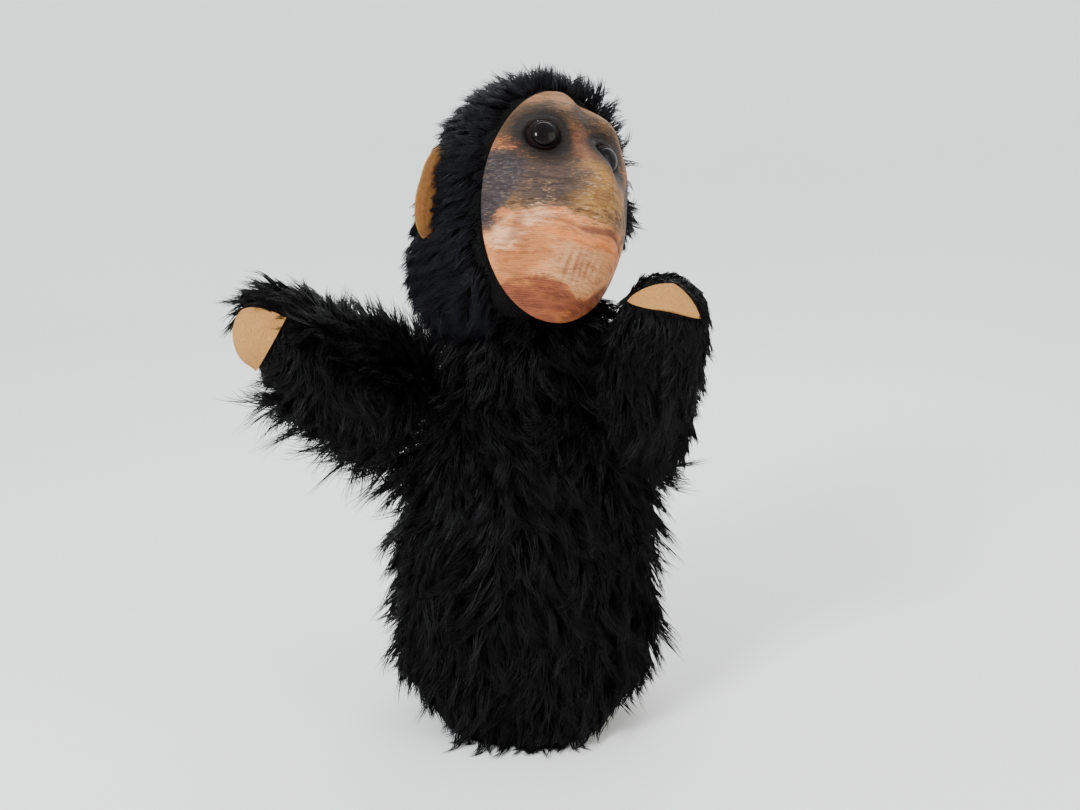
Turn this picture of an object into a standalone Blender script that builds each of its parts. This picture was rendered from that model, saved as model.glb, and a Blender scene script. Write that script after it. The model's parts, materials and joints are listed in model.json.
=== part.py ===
"""Glove puppet of a chimpanzee: a fur glove body, two sleeve arms with felt palms and a stuffed head.

The puppet stands on its open hem. +Z is up, the body's front faces -Y and the puppet's left is +X.
Every joint turns about the centre of a pair of nested spheres, so its two sides never touch.
"""

import itertools
import math

import bpy
import numpy as np
from mathutils import Matrix, Vector

# ---------------------------------------------------------------- driving dimensions (metres, degrees)
GAP = 0.0003                     # clearance between neighbouring pieces
PILE = 0.0060                    # fur cloth: woven backing with its dense pile
FELT = 0.0018                    # thickness of one layer of felt
HEAD_WALL = 0.0040               # fur cloth of the hood, which has a shorter pile

# Frame: the model is built about the glove's own axis, then moved so that the origin is under its box
FRAME_SHIFT = Vector((0.0249, 0.0028, 0.0))

# Glove body: height of each ring with its half width (X) and half depth (Y)
GLOVE_RINGS = (
    (0.000, 0.0575, 0.0450),
    (0.030, 0.0582, 0.0445),
    (0.065, 0.0572, 0.0430),
    (0.100, 0.0560, 0.0410),
    (0.125, 0.0530, 0.0385),
    (0.142, 0.0465, 0.0350),
    (0.155, 0.0360, 0.0300),
    (0.164, 0.0270, 0.0250),
    (0.170, 0.0190, 0.0190),
)
HEM_FACING_HEIGHT = 0.020
HEM_FACING_WALL = 0.0016
HEM_FACING_LIFT = 0.0006
HEM_SIDE_LIFT = 0.0180           # the hem rises at the two sides and rests on its front and its back
HEM_LEVEL_SHARE = 0.50           # share of the half width that rests, each way from the middle
HEM_RISE_TOP = 0.0650            # height above which the rings are level again

# Nested spheres of a joint, from the outside in: the hole in the glove, the binding, the ball
HOLE_RADIUS = 0.0270
BINDING_OUTER = 0.0262
BINDING_INNER = 0.0230
BALL_OUTER = 0.0224
BALL_INNER = 0.0192
BINDING_ANGLES = (98.0, 128.0)   # from the limb's own axis
BALL_ROOT_ANGLE = 120.0
BINDING_STEPS = 3

# Arms
LEFT_SHOULDER = Vector((0.0490, 0.0, 0.1370))
RIGHT_SHOULDER = Vector((-0.0570, 0.0, 0.1440))
ARM_LENGTH = 0.0765
ARM_NECK_RADIUS = 0.0155
WRIST = 0.0620                   # distance of the wrist from the shoulder, where the rounded tip begins
WRIST_RADIUS = 0.0168
# Distance from the shoulder with the sleeve's radius there, beyond the ball
SLEEVE_RINGS = (
    (0.0155, ARM_NECK_RADIUS),
    (0.0270, 0.0185),
    (0.0360, 0.0200),
    (0.0520, 0.0190),
    (WRIST, WRIST_RADIUS),
)
SLEEVE_START = 0.0200
SLEEVE_WALL = 0.0045
LEFT_PALM_SEAM = 0.0605          # distance of the palm's straight seam from the shoulder
RIGHT_PALM_SEAM = 0.0560
PALM_SINK = 0.0012               # the felt lies lower than the pile round it
RIGHT_ARM_DIRECTION = Vector((-0.860, -0.100, 0.500))
LEFT_ARM_DIRECTION = Vector((0.150, -0.540, 0.828))
LEFT_PALM_FACES = Vector((0.0, -1.0, 0.15))
RIGHT_PALM_FACES = Vector((-0.2, -1.0, 0.0))

# Neck
NECK = Vector((0.0, 0.0, 0.1600))
NECK_RADIUS = 0.0150
NECK_INNER = 0.0112
NECK_TOP = 0.1960
FINGER_TUBE_OUTER = 0.0108
FINGER_TUBE_INNER = 0.0098
FINGER_TUBE_SPAN = (0.1690, 0.2260)
DRAWSTRING_RADIUS = 0.0008
DRAWSTRING_HEIGHT = 0.1870

# Head
HEAD_CENTRE = Vector((0.0000, 0.0020, 0.2290))
HEAD_TURN = 28.0                 # towards +X
HEAD_LEAN = 15.0                 # crown towards the side it faces
HEAD_LIFT = 19.0                 # chin up
HOOD_HALF = Vector((0.0425, 0.0455, 0.0540))
HOOD_FULLNESS = 0.80             # under 1 fills the oval out towards the jaw
HOOD_CLEARANCE_RADIUS = 0.0300   # keeps the hood's underside clear of the glove as the head nods
HOOD_HOLE_RADIUS = 0.0178
HOOD_TAPER = 0.12                # narrower at the crown, wider at the jaw
STUFFING_FRONT = -0.0180
BORE_END = 0.0020                # how far a bore in the stuffing runs past what it holds
BEYOND = 0.0800                  # past the head's outside, for a cutter

# Face, in the head's own axes: +X its left, +Z its crown, -Y forward
FACE_RIM_Y = -0.0255
FACE_WALL = 0.0032
FACE_TOP = 0.0430
FACE_BOTTOM = -0.0560
FACE_HALF_WIDTH = 0.0355
BROW_DEPTH = 0.0150
MUZZLE_DEPTH = 0.0285
MUZZLE_CENTRE_Z = -0.0150
MUZZLE_SPREAD = Vector((0.0286, 0.0257))
FACE_EGG = 0.10                  # the outline's extra width at the muzzle, as a share of its half width
EYE_SPACING = 0.0285
LEFT_EYE_Z = 0.0145              # the eyes were set by hand and aren't level
RIGHT_EYE_Z = 0.0185
EYE_RADIUS = 0.0066
EYE_SINK = 0.0016
PUPIL_RADIUS = 0.0046
EYE_HEIGHT = 0.0040
PUPIL_HEIGHT = 0.0023
SHANK_RADIUS = 0.0021
SHANK_LENGTH = 0.0085
WASHER_RADIUS = 0.0060
WASHER_THICKNESS = 0.0012
WASHER_TOP = -0.0024             # behind the plane that the eye sits on

# Ears
EAR_CENTRE = Vector((0.0375, 0.0060, 0.0000))
EAR_REACH = 0.0200
EAR_HALF_HEIGHT = 0.0240
LEFT_EAR_SWEEP = -35.0           # forwards from straight out; the left ear lies back
RIGHT_EAR_SWEEP = 40.0
EAR_ROOT = 0.0040                # straight stretch from the seam to the round outline
EAR_ROOT_SHARE = 0.92            # the root's height as a share of the widest

# Facets
ROUND_STEPS = 18
HALF_STEPS = 10                  # round each half of the hood or of a sleeve
GLOVE_STEPS = 18                 # round each half of the glove
SPHERE_STEPS = 24
BALL_STEPS = 5
SLEEVE_STEPS = 5
TIP_STEPS = 4
PALM_STEPS = 2
STRING_STEPS = 6
EGG_STEPS = 12
FACE_RINGS = 6
FACE_STEPS = 24
EAR_STEPS = 14
SHARP_EDGE = 40.0

# colour, roughness
PALETTE = {
    "body_fur": ((0.012, 0.012, 0.014), 0.85),
    "hood_fur": ((0.014, 0.014, 0.017), 0.85),
    "lining": ((0.030, 0.028, 0.028), 0.90),
    "face_knit": ((0.50, 0.30, 0.18), 0.70),
    "palm_felt": ((0.68, 0.43, 0.18), 0.90),
    "ear_outer": ((0.55, 0.34, 0.12), 0.90),
    "ear_inner": ((0.38, 0.18, 0.07), 0.90),
    "iris": ((0.055, 0.018, 0.010), 0.12),
    "pupil": ((0.004, 0.004, 0.004), 0.08),
    "washer": ((0.70, 0.70, 0.68), 0.45),
    "card": ((0.45, 0.33, 0.20), 0.80),
    "stuffing": ((0.75, 0.73, 0.68), 0.95),
    "thread": ((0.05, 0.05, 0.05), 0.80),
}


# ---------------------------------------------------------------- scene and materials
def clear_scene():
    for found in list(bpy.data.objects):
        bpy.data.objects.remove(found, do_unlink=True)


def make_material(name):
    colour, roughness = PALETTE[name]
    made = bpy.data.materials.new(name)
    made.use_nodes = True
    shader = made.node_tree.nodes["Principled BSDF"]
    shader.inputs["Base Color"].default_value = (*colour, 1.0)
    shader.inputs["Roughness"].default_value = roughness
    shader.inputs["Metallic"].default_value = 0.0
    made.diffuse_color = (*colour, 1.0)
    return made


def make_empty(name, location, parent=None):
    """An empty that carries the pieces of one moving body, with its origin on the body's joint."""
    empty = bpy.data.objects.new(name, None)
    bpy.context.collection.objects.link(empty)
    empty.parent = parent
    empty.location = location - (world_of(parent).translation if parent else Vector())
    return empty


def world_of(thing):
    """An object's world matrix, worked out from its chain of parents."""
    here = thing.matrix_basis.copy()
    while thing.parent:
        thing = thing.parent
        here = thing.matrix_basis @ here
    return here


# ---------------------------------------------------------------- solids
def mesh_object(name, points, faces):
    """A new object from points in the model's axes."""
    mesh = bpy.data.meshes.new(name)
    mesh.from_pydata([tuple(p) for p in points], [], faces)
    mesh.validate()
    made = bpy.data.objects.new(name, mesh)
    bpy.context.collection.objects.link(made)
    return made


def turned(profile, steps, start=0.0, stop=360.0):
    """A closed outline of (radius, height) turned about Z, all round or through a sector with flat ends.

    The outline runs counter-clockwise with the radius to the right, so the faces point out.
    """
    whole = abs(stop - start - 360.0) < 1e-6
    columns = steps if whole else steps + 1
    points, index = [], []
    for radius, height in profile:
        if radius == 0.0:
            points.append((0.0, 0.0, height))
            index.append([len(points) - 1] * columns)
            continue
        row = []
        for c in range(columns):
            angle = math.radians(start + (stop - start) * c / steps)
            points.append((radius * math.cos(angle), radius * math.sin(angle), height))
            row.append(len(points) - 1)
        index.append(row)
    faces = []
    for r, row in enumerate(index):
        above = index[(r + 1) % len(index)]
        for c in range(steps):
            d = (c + 1) % columns
            corners = (row[c], row[d], above[d], above[c])
            face = tuple(dict.fromkeys(corners))
            if len(face) > 2:
                faces.append(face)
    if not whole:
        faces.append(tuple(row[0] for row in index))
        faces.append(tuple(row[-1] for row in reversed(index)))
    return points, faces


def arc(radius, start, stop, steps):
    """Points (radius, height) on an arc about the origin, whose angle is measured from the +Z axis."""
    for i in range(steps + 1):
        angle = math.radians(start + (stop - start) * i / steps)
        yield radius * math.sin(angle), radius * math.cos(angle)


def sphere(name, centre, radius):
    """A closed sphere, used to cut a joint's clearance."""
    middle = list(arc(radius, 180.0, 0.0, SPHERE_STEPS // 2))[1:-1]
    points, faces = turned([(0.0, -radius), *middle, (0.0, radius)], SPHERE_STEPS)
    return mesh_object(name, [Vector(p) + centre for p in points], faces)


def box(name, low, high, place):
    """A closed box between two corners in the axes of a matrix."""
    corners = [Vector(c) for c in itertools.product(*zip(low, high))]
    faces = [(0, 1, 3, 2), (4, 6, 7, 5), (0, 4, 5, 1), (2, 3, 7, 6), (0, 2, 6, 4), (1, 5, 7, 3)]
    return mesh_object(name, [place @ c for c in corners], faces)


def cylinder(name, radius, low, high, place):
    """A closed cylinder about the Z axis of a matrix."""
    points, faces = turned([(0.0, low), (radius, low), (radius, high), (0.0, high)], ROUND_STEPS)
    return mesh_object(name, [place @ Vector(p) for p in points], faces)


def cut(piece, cutter, solver="EXACT"):
    """Take a closed cutter away from a piece, apply the result and remove the cutter."""
    step = piece.modifiers.new("cut", "BOOLEAN")
    step.operation = "DIFFERENCE"
    step.solver = solver
    step.object = cutter
    bpy.context.view_layer.update()
    evaluated = piece.evaluated_get(bpy.context.evaluated_depsgraph_get())
    mesh = bpy.data.meshes.new_from_object(evaluated)
    piece.modifiers.clear()
    piece.data = mesh
    bpy.data.objects.remove(cutter, do_unlink=True)


def finish(piece, material, parent):
    """Shade a piece, give it its one material and hang it on its body's empty where it already lies."""
    piece.data.materials.clear()
    piece.data.materials.append(material)
    piece.data.shade_smooth()
    piece.data.set_sharp_from_angle(angle=math.radians(SHARP_EDGE))
    piece.data.transform(world_of(parent).inverted() @ Matrix.Translation(FRAME_SHIFT))
    piece.parent = parent


def along(direction, face):
    """A rotation whose Z runs along a limb and whose -Y is turned towards the side that faces out."""
    z = direction.normalized()
    y = -(face - face.dot(z) * z).normalized()
    x = y.cross(z)
    return Matrix((x, y, z)).transposed()


# ---------------------------------------------------------------- the glove body
def glove_half_axes(height):
    rings = np.array(GLOVE_RINGS)
    return np.interp(height, rings[:, 0], rings[:, 1]), np.interp(height, rings[:, 0], rings[:, 2])


def hem_rise(height, sideways):
    """How far the cloth is raised at a height, where sideways is 0 at the middle and 1 at the side."""
    t = max(0.0, (abs(sideways) - HEM_LEVEL_SHARE) / (1.0 - HEM_LEVEL_SHARE))
    return HEM_SIDE_LIFT * t * t * (3.0 - 2.0 * t) * max(0.0, 1.0 - height / HEM_RISE_TOP)


def glove_wall(name, start, stop, inset, wall, heights, steps):
    """A wall that follows the glove's oval rings through a sector, inset from the outside."""
    outline = [(1.0, h) for h in heights] + [(0.5, h) for h in reversed(heights)]
    points, faces = turned(outline, steps, start, stop)
    moved = []
    for x, y, z in points:
        half_width, half_depth = glove_half_axes(z)
        outside = math.hypot(x, y) > 0.75
        depth = inset if outside else inset + wall
        unit = Vector((x, y)).normalized()
        level = z + hem_rise(z, unit.x)
        moved.append((unit.x * (half_width - depth), unit.y * (half_depth - depth), level))
    return mesh_object(name, moved, faces)


def make_glove(body, materials):
    heights = [ring[0] for ring in GLOVE_RINGS]
    for name, start, side in (("body_front_panel", 180.0, -1.0), ("body_back_panel", 0.0, 1.0)):
        panel = glove_wall(name, start, start + 180.0, 0.0, PILE, heights, GLOVE_STEPS)
        panel.data.transform(Matrix.Translation((0.0, side * GAP / 2, 0.0)))
        cut(panel, sphere("neck_hole", NECK, HOLE_RADIUS))
        for shoulder in (LEFT_SHOULDER, RIGHT_SHOULDER):
            cut(panel, sphere("arm_hole", shoulder, HOLE_RADIUS))
        finish(panel, materials["body_fur"], body)
    low, high = HEM_FACING_LIFT, HEM_FACING_HEIGHT
    facing = glove_wall("hem_facing", 0.0, 360.0, PILE + GAP, HEM_FACING_WALL, [low, high], 2 * GLOVE_STEPS)
    finish(facing, materials["lining"], body)


# ---------------------------------------------------------------- bindings and balls of the joints
def binding_points():
    """The ring of binding tape round a limb's opening, about the Z axis of the limb."""
    first, last = BINDING_ANGLES
    outline = [*arc(BINDING_OUTER, last, first, BINDING_STEPS),
               *arc(BINDING_INNER, first, last, BINDING_STEPS)]
    return turned(outline, ROUND_STEPS)


def make_binding(name, place, body, material):
    points, faces = binding_points()
    ring = mesh_object(name, [place @ Vector(p) for p in points], faces)
    finish(ring, material, body)


# ---------------------------------------------------------------- arms
def sleeve_line(first, last, inset, steps):
    """Points (radius, distance from the shoulder) along the sleeve, inset from its outside."""
    rings = np.array(SLEEVE_RINGS)
    for i in range(steps + 1):
        distance = first + (last - first) * i / steps
        yield float(np.interp(distance, rings[:, 0], rings[:, 1])) - inset, distance


def tip_line(inset):
    """The rounded tip, from the wrist's side to the end of the arm."""
    radius = WRIST_RADIUS - inset
    reach = ARM_LENGTH - inset - WRIST
    for i in range(1, TIP_STEPS + 1):
        angle = math.pi / 2 * i / TIP_STEPS
        yield (radius * math.cos(angle) if i < TIP_STEPS else 0.0), WRIST + reach * math.sin(angle)


def ball_outline(side):
    """The ball's outer line, root to neck, or its inner line, neck to root."""
    if side == "outer":
        exit_angle = math.degrees(math.asin(ARM_NECK_RADIUS / BALL_OUTER))
        return list(arc(BALL_OUTER, BALL_ROOT_ANGLE, exit_angle, BALL_STEPS))
    exit_angle = math.degrees(math.asin((ARM_NECK_RADIUS - SLEEVE_WALL) / BALL_INNER))
    return list(arc(BALL_INNER, exit_angle, BALL_ROOT_ANGLE, BALL_STEPS))


def make_sleeve_half(name, place, start, stop, seam=None):
    """Half a sleeve: the back half is whole, and the front half stops at the palm's seam."""
    whole = seam is None
    end = WRIST if whole else seam - GAP / 2
    outer = [*ball_outline("outer"), *sleeve_line(SLEEVE_START, end, 0.0, SLEEVE_STEPS)]
    lining = list(sleeve_line(SLEEVE_START, end, SLEEVE_WALL, SLEEVE_STEPS))
    inner = [*reversed(lining), *ball_outline("inner")]
    if whole:
        outer += list(tip_line(0.0))
        inner = [*reversed(list(tip_line(SLEEVE_WALL))), *inner]
    points, faces = turned(outer + inner, HALF_STEPS, start, stop)
    nudge = Matrix.Translation((0.0, GAP / 2 if whole else -GAP / 2, 0.0))
    return mesh_object(name, [place @ nudge @ Vector(p) for p in points], faces)


def make_palm(name, place, seam):
    first = seam + GAP / 2
    depth = PALM_SINK + FELT
    outer = [*sleeve_line(first, WRIST, PALM_SINK, PALM_STEPS), *tip_line(PALM_SINK)]
    inner = [*sleeve_line(first, WRIST, depth, PALM_STEPS), *tip_line(depth)]
    points, faces = turned(outer + inner[::-1], HALF_STEPS, 180.0, 360.0)
    nudge = Matrix.Translation((0.0, -GAP / 2, 0.0))
    return mesh_object(name, [place @ nudge @ Vector(p) for p in points], faces)


def make_arm(side, shoulder, direction, palm_faces, seam, shoulder_body, arm_body, materials):
    place = Matrix.Translation(shoulder) @ along(direction, palm_faces).to_4x4()
    make_binding(f"{side}_armhole_binding", place, shoulder_body, materials["lining"])
    back = make_sleeve_half(f"{side}_sleeve_back", place, 0.0, 180.0)
    front = make_sleeve_half(f"{side}_sleeve_front", place, 180.0, 360.0, seam)
    palm = make_palm(f"{side}_palm", place, seam)
    finish(back, materials["body_fur"], arm_body)
    finish(front, materials["body_fur"], arm_body)
    finish(palm, materials["palm_felt"], arm_body)


# ---------------------------------------------------------------- neck
def make_neck(base_body, neck_body, materials):
    place = Matrix.Translation(NECK)
    make_binding("neck_binding", place, base_body, materials["lining"])
    exit_outer = math.degrees(math.asin(NECK_RADIUS / BALL_OUTER))
    exit_inner = math.degrees(math.asin(NECK_INNER / BALL_INNER))
    top = NECK_TOP - NECK.z
    outline = [*arc(BALL_OUTER, BALL_ROOT_ANGLE, exit_outer, BALL_STEPS), (NECK_RADIUS, top),
               (NECK_INNER, top), *arc(BALL_INNER, exit_inner, BALL_ROOT_ANGLE, BALL_STEPS)]
    points, faces = turned(outline, ROUND_STEPS)
    sleeve = mesh_object("neck_sleeve", [place @ Vector(p) for p in points], faces)
    finish(sleeve, materials["body_fur"], neck_body)
    ring = NECK_RADIUS + GAP + DRAWSTRING_RADIUS
    outline = [(ring + DRAWSTRING_RADIUS * math.cos(a), DRAWSTRING_HEIGHT + DRAWSTRING_RADIUS * math.sin(a))
               for a in (math.tau * i / STRING_STEPS for i in range(STRING_STEPS))]
    points, faces = turned(outline, ROUND_STEPS)
    finish(mesh_object("neck_drawstring", points, faces), materials["thread"], neck_body)


# ---------------------------------------------------------------- head
def head_place():
    turn = Matrix.Rotation(math.radians(HEAD_TURN), 4, "Z")
    lean = Matrix.Rotation(math.radians(HEAD_LEAN), 4, "Y")
    lift = Matrix.Rotation(math.radians(-HEAD_LIFT), 4, "X")
    return Matrix.Translation(HEAD_CENTRE) @ turn @ lean @ lift


def egg_line(inset):
    """Points (radius, height) up the hood's oval, chin to crown, as a unit of its half width."""
    for i in range(EGG_STEPS + 1):
        angle = math.pi * (1.0 - i / EGG_STEPS)
        fullness = HOOD_FULLNESS if angle > math.pi / 2 else 1.0
        radius = math.sin(angle) ** fullness * (1.0 - HOOD_TAPER * math.cos(angle))
        radius *= 1.0 - inset / HOOD_HALF.x
        yield (radius if 0 < i < EGG_STEPS else 0.0), math.cos(angle) * (HOOD_HALF.z - inset)


def egg_points(points):
    """Stretch unit-radius points to the hood's half width and half depth."""
    return [Vector((x * HOOD_HALF.x, y * HOOD_HALF.y, z)) for x, y, z in points]


def face_outline(angle, grow=0.0):
    """The face's edge at an angle about its centre: an egg with its wide end at the muzzle."""
    x, z = math.cos(angle), math.sin(angle)
    half_width = FACE_HALF_WIDTH * (1.0 - FACE_EGG * z)
    half_height = FACE_TOP if z > 0.0 else -FACE_BOTTOM
    return Vector((x * (half_width + grow), z * (half_height + grow)))


def face_front(x, z, share):
    """How far the face stands forward (-Y) at a place; share runs from 0 at its centre to 1 at its edge."""
    rim = FACE_RIM_Y
    roll_off = 1.0 - share ** 4
    brow = BROW_DEPTH * roll_off
    muzzle_x, muzzle_z = x / MUZZLE_SPREAD.x, (z - MUZZLE_CENTRE_Z) / MUZZLE_SPREAD.y
    muzzle = (MUZZLE_DEPTH - BROW_DEPTH) * math.exp(-(muzzle_x ** 2 + muzzle_z ** 2)) * roll_off
    return rim - brow - muzzle


def face_grid(shrink, back):
    """Points of the face's front, centre first and then ring by ring."""
    points = [Vector((0.0, face_front(0.0, 0.0, 0.0) + back, 0.0))]
    for r in range(1, FACE_RINGS + 1):
        share = math.sin(math.pi / 2 * r / FACE_RINGS)
        for s in range(FACE_STEPS):
            edge = face_outline(math.tau * s / FACE_STEPS, -shrink) * share
            points.append(Vector((edge.x, face_front(edge.x, edge.y, share) + back, edge.y)))
    return points


def grid_faces(offset, flip):
    """Faces of one face grid whose first point has the index offset."""
    faces = []
    for s in range(FACE_STEPS):
        t = (s + 1) % FACE_STEPS
        faces.append((offset, offset + 1 + s, offset + 1 + t))
        for r in range(FACE_RINGS - 1):
            a, b = offset + 1 + r * FACE_STEPS, offset + 1 + (r + 1) * FACE_STEPS
            faces.append((a + s, b + s, b + t, a + t))
    return [tuple(reversed(f)) for f in faces] if flip else faces


def face_shell(place):
    """The padded face's cloth, a bowl that is open at the back."""
    front = face_grid(0.0, 0.0)
    inner = face_grid(FACE_WALL, FACE_WALL)
    count = len(front)
    faces = grid_faces(0, False) + grid_faces(count, True)
    edge = count - FACE_STEPS
    for s in range(FACE_STEPS):
        t = (s + 1) % FACE_STEPS
        faces.append((edge + s, count + edge + s, count + edge + t, edge + t))
    return mesh_object("face", [place @ p for p in front + inner], faces)


def face_padding(place):
    """The wadding that fills the face's bowl, with a flat back."""
    inset = FACE_WALL + 2 * GAP
    front = face_grid(inset, inset)
    back_y = STUFFING_FRONT - GAP
    back = [Vector((0.0, back_y, 0.0))]
    back += [Vector((p.x, back_y, p.z)) for p in front[-FACE_STEPS:]]
    count = len(front)
    faces = grid_faces(0, False)
    edge = count - FACE_STEPS
    for s in range(FACE_STEPS):
        t = (s + 1) % FACE_STEPS
        faces.append((edge + s, count + 1 + s, count + 1 + t, edge + t))
        faces.append((count, count + 1 + t, count + 1 + s))
    return mesh_object("face_padding", [place @ p for p in front + back], faces)


def eye_place(place, side):
    """A frame whose Z comes out of an eye, on the plane where the eye sits."""
    x, z = side * EYE_SPACING / 2, LEFT_EYE_Z if side > 0 else RIGHT_EYE_Z
    share = math.hypot(x / FACE_HALF_WIDTH, z / FACE_TOP)
    seat = Vector((x, face_front(x, z, share) + EYE_SINK, z))
    return place @ Matrix.Translation(seat) @ Matrix.Rotation(math.radians(90.0), 4, "X")


def make_eye(side_name, seat, body, materials):
    """A two-part moulded eye on a shank, locked by a washer behind the cloth."""
    dome = [(EYE_RADIUS, 0.0), (EYE_RADIUS, 0.20 * EYE_HEIGHT), (0.88 * EYE_RADIUS, 0.65 * EYE_HEIGHT),
            (PUPIL_RADIUS, EYE_HEIGHT), (0.0, EYE_HEIGHT)]
    shank = [(0.0, -SHANK_LENGTH), (SHANK_RADIUS, -SHANK_LENGTH), (SHANK_RADIUS, 0.0)]
    points, faces = turned([*shank, *dome], ROUND_STEPS)
    iris = mesh_object(f"{side_name}_eye", [seat @ Vector(p) for p in points], faces)
    finish(iris, materials["iris"], body)
    low, high = EYE_HEIGHT + GAP, EYE_HEIGHT + PUPIL_HEIGHT
    cap = [(0.0, low), (PUPIL_RADIUS, low), (0.83 * PUPIL_RADIUS, 0.55 * low + 0.45 * high),
           (0.48 * PUPIL_RADIUS, 0.15 * low + 0.85 * high), (0.0, high)]
    points, faces = turned(cap, ROUND_STEPS)
    pupil = mesh_object(f"{side_name}_pupil", [seat @ Vector(p) for p in points], faces)
    finish(pupil, materials["pupil"], body)
    low = WASHER_TOP - WASHER_THICKNESS
    ring = [(SHANK_RADIUS + GAP, low), (WASHER_RADIUS, low), (WASHER_RADIUS, WASHER_TOP),
            (SHANK_RADIUS + GAP, WASHER_TOP)]
    points, faces = turned(ring, ROUND_STEPS)
    washer = mesh_object(f"{side_name}_eye_washer", [seat @ Vector(p) for p in points], faces)
    finish(washer, materials["washer"], body)


def hood_oval(name, place, grow):
    """The hood's whole outside as one closed solid, grown by an even margin."""
    points, faces = turned(list(egg_line(-grow)), 2 * HALF_STEPS)
    return mesh_object(name, [place @ p for p in egg_points(points)], faces)


def face_prism(place):
    """A column along the face's depth, to open the hood for it."""
    steps = FACE_STEPS
    ring = [face_outline(math.tau * s / steps, GAP) for s in range(steps)]
    points = [Vector((p.x, y, p.y)) for y in (-BEYOND, STUFFING_FRONT + GAP) for p in ring]
    faces = [tuple(range(steps)), tuple(reversed(range(steps, 2 * steps)))]
    faces += [(s, steps + s, steps + (s + 1) % steps, (s + 1) % steps) for s in range(steps)]
    return mesh_object("face_opening", [place @ p for p in points], faces)


def make_hood(place, body, materials):
    """Two side panels of short pile fur cloth that meet over the crown and open round the face."""
    neck = Matrix.Translation(NECK)
    for name, start, side in (("hood_left_panel", -90.0, 1.0), ("hood_right_panel", 90.0, -1.0)):
        outline = [*egg_line(0.0), *reversed(list(egg_line(HEAD_WALL)))]
        points, faces = turned(outline, HALF_STEPS, start, start + 180.0)
        nudge = place @ Matrix.Translation((side * GAP / 2, 0.0, 0.0))
        panel = mesh_object(name, [nudge @ p for p in egg_points(points)], faces)
        for cutter in (face_prism(place),
                       sphere("nod_clearance", NECK, HOOD_CLEARANCE_RADIUS),
                       cylinder("neck_hole", HOOD_HOLE_RADIUS, 0.0, 2 * HOOD_CLEARANCE_RADIUS, neck)):
            cut(panel, cutter, "MANIFOLD")
        finish(panel, materials["hood_fur"], body)


def make_stuffing(place, body, materials):
    stuffing = hood_oval("head_stuffing", place, -(HEAD_WALL + 3 * GAP))
    cut(stuffing, box("flat_front", (-BEYOND, -BEYOND, -BEYOND), (BEYOND, STUFFING_FRONT, BEYOND), place))
    cut(stuffing, sphere("nod_clearance", NECK, HOOD_CLEARANCE_RADIUS))
    cut(stuffing, cylinder("neck_bore", HOOD_HOLE_RADIUS, NECK.z, NECK_TOP + BORE_END, Matrix.Identity(4)))
    top = FINGER_TUBE_SPAN[1] + BORE_END
    cut(stuffing, cylinder("tube_bore", FINGER_TUBE_OUTER + GAP, NECK.z, top, Matrix.Identity(4)))
    finish(stuffing, materials["stuffing"], body)
    low, high = FINGER_TUBE_SPAN
    wall = [(FINGER_TUBE_OUTER, low), (FINGER_TUBE_OUTER, high),
            (FINGER_TUBE_INNER, high), (FINGER_TUBE_INNER, low)]
    points, faces = turned(wall, ROUND_STEPS)
    finish(mesh_object("finger_tube", points, faces), materials["card"], body)


def eye_cutter(seat):
    """A stepped plug: the eye's seat in front, the shank's hole and the washer's seat behind."""
    washer, shank, eye = WASHER_RADIUS + GAP, SHANK_RADIUS + GAP, EYE_RADIUS + GAP
    reach = 2 * EYE_RADIUS
    outline = [(0.0, -reach), (washer, -reach), (washer, WASHER_TOP + GAP), (shank, WASHER_TOP + GAP),
               (shank, -GAP), (eye, -GAP), (eye, reach), (0.0, reach)]
    points, faces = turned(outline, ROUND_STEPS)
    return mesh_object("eye_cutter", [seat @ Vector(p) for p in points], faces)


def make_face(place, body, materials):
    shell = face_shell(place)
    padding = face_padding(place)
    for side, name in ((1.0, "left"), (-1.0, "right")):
        seat = eye_place(place, side)
        cut(shell, eye_cutter(seat))
        low = -SHANK_LENGTH - 3 * GAP
        cut(padding, cylinder("washer_pocket", WASHER_RADIUS + 2 * GAP, low, EYE_HEIGHT, seat))
        make_eye(name, seat, body, materials)
    finish(shell, materials["face_knit"], body)
    finish(padding, materials["stuffing"], body)


def make_ear(side_name, side, forward, place, body, materials):
    """Two layers of felt sewn back to back, with a straight root in the hood's seam."""
    root = Vector((side * EAR_CENTRE.x, EAR_CENTRE.y, EAR_CENTRE.z))
    sweep = math.radians(forward)
    out = Vector((side * math.cos(sweep), -math.sin(sweep), 0.0))
    normal = Vector((side * math.sin(sweep), math.cos(sweep), 0.0))
    outline = [(0.0, -EAR_HALF_HEIGHT * EAR_ROOT_SHARE)]
    for i in range(EAR_STEPS + 1):
        angle = math.pi * (i / EAR_STEPS - 0.5)
        reach = EAR_ROOT + (EAR_REACH - EAR_ROOT) * math.cos(angle)
        outline.append((reach, EAR_HALF_HEIGHT * math.sin(angle)))
    outline.append((0.0, EAR_HALF_HEIGHT * EAR_ROOT_SHARE))
    count = len(outline)
    for layer, name, material in ((0, "back", "ear_outer"), (1, "front", "ear_inner")):
        far = GAP / 2 + FELT
        depths = (GAP / 2, far) if layer == 0 else (-far, -GAP / 2)
        points = [root + out * u + normal * d + Vector((0.0, 0.0, w)) for d in depths for u, w in outline]
        faces = [tuple(range(count)), tuple(reversed(range(count, 2 * count)))]
        faces += [(s, count + s, count + (s + 1) % count, (s + 1) % count) for s in range(count)]
        if side > 0:
            faces = [tuple(reversed(f)) for f in faces]
        ear = mesh_object(f"{side_name}_ear_{name}", [place @ p for p in points], faces)
        cut(ear, hood_oval("hood_surface", place, 2 * GAP))
        finish(ear, materials[material], body)


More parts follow.
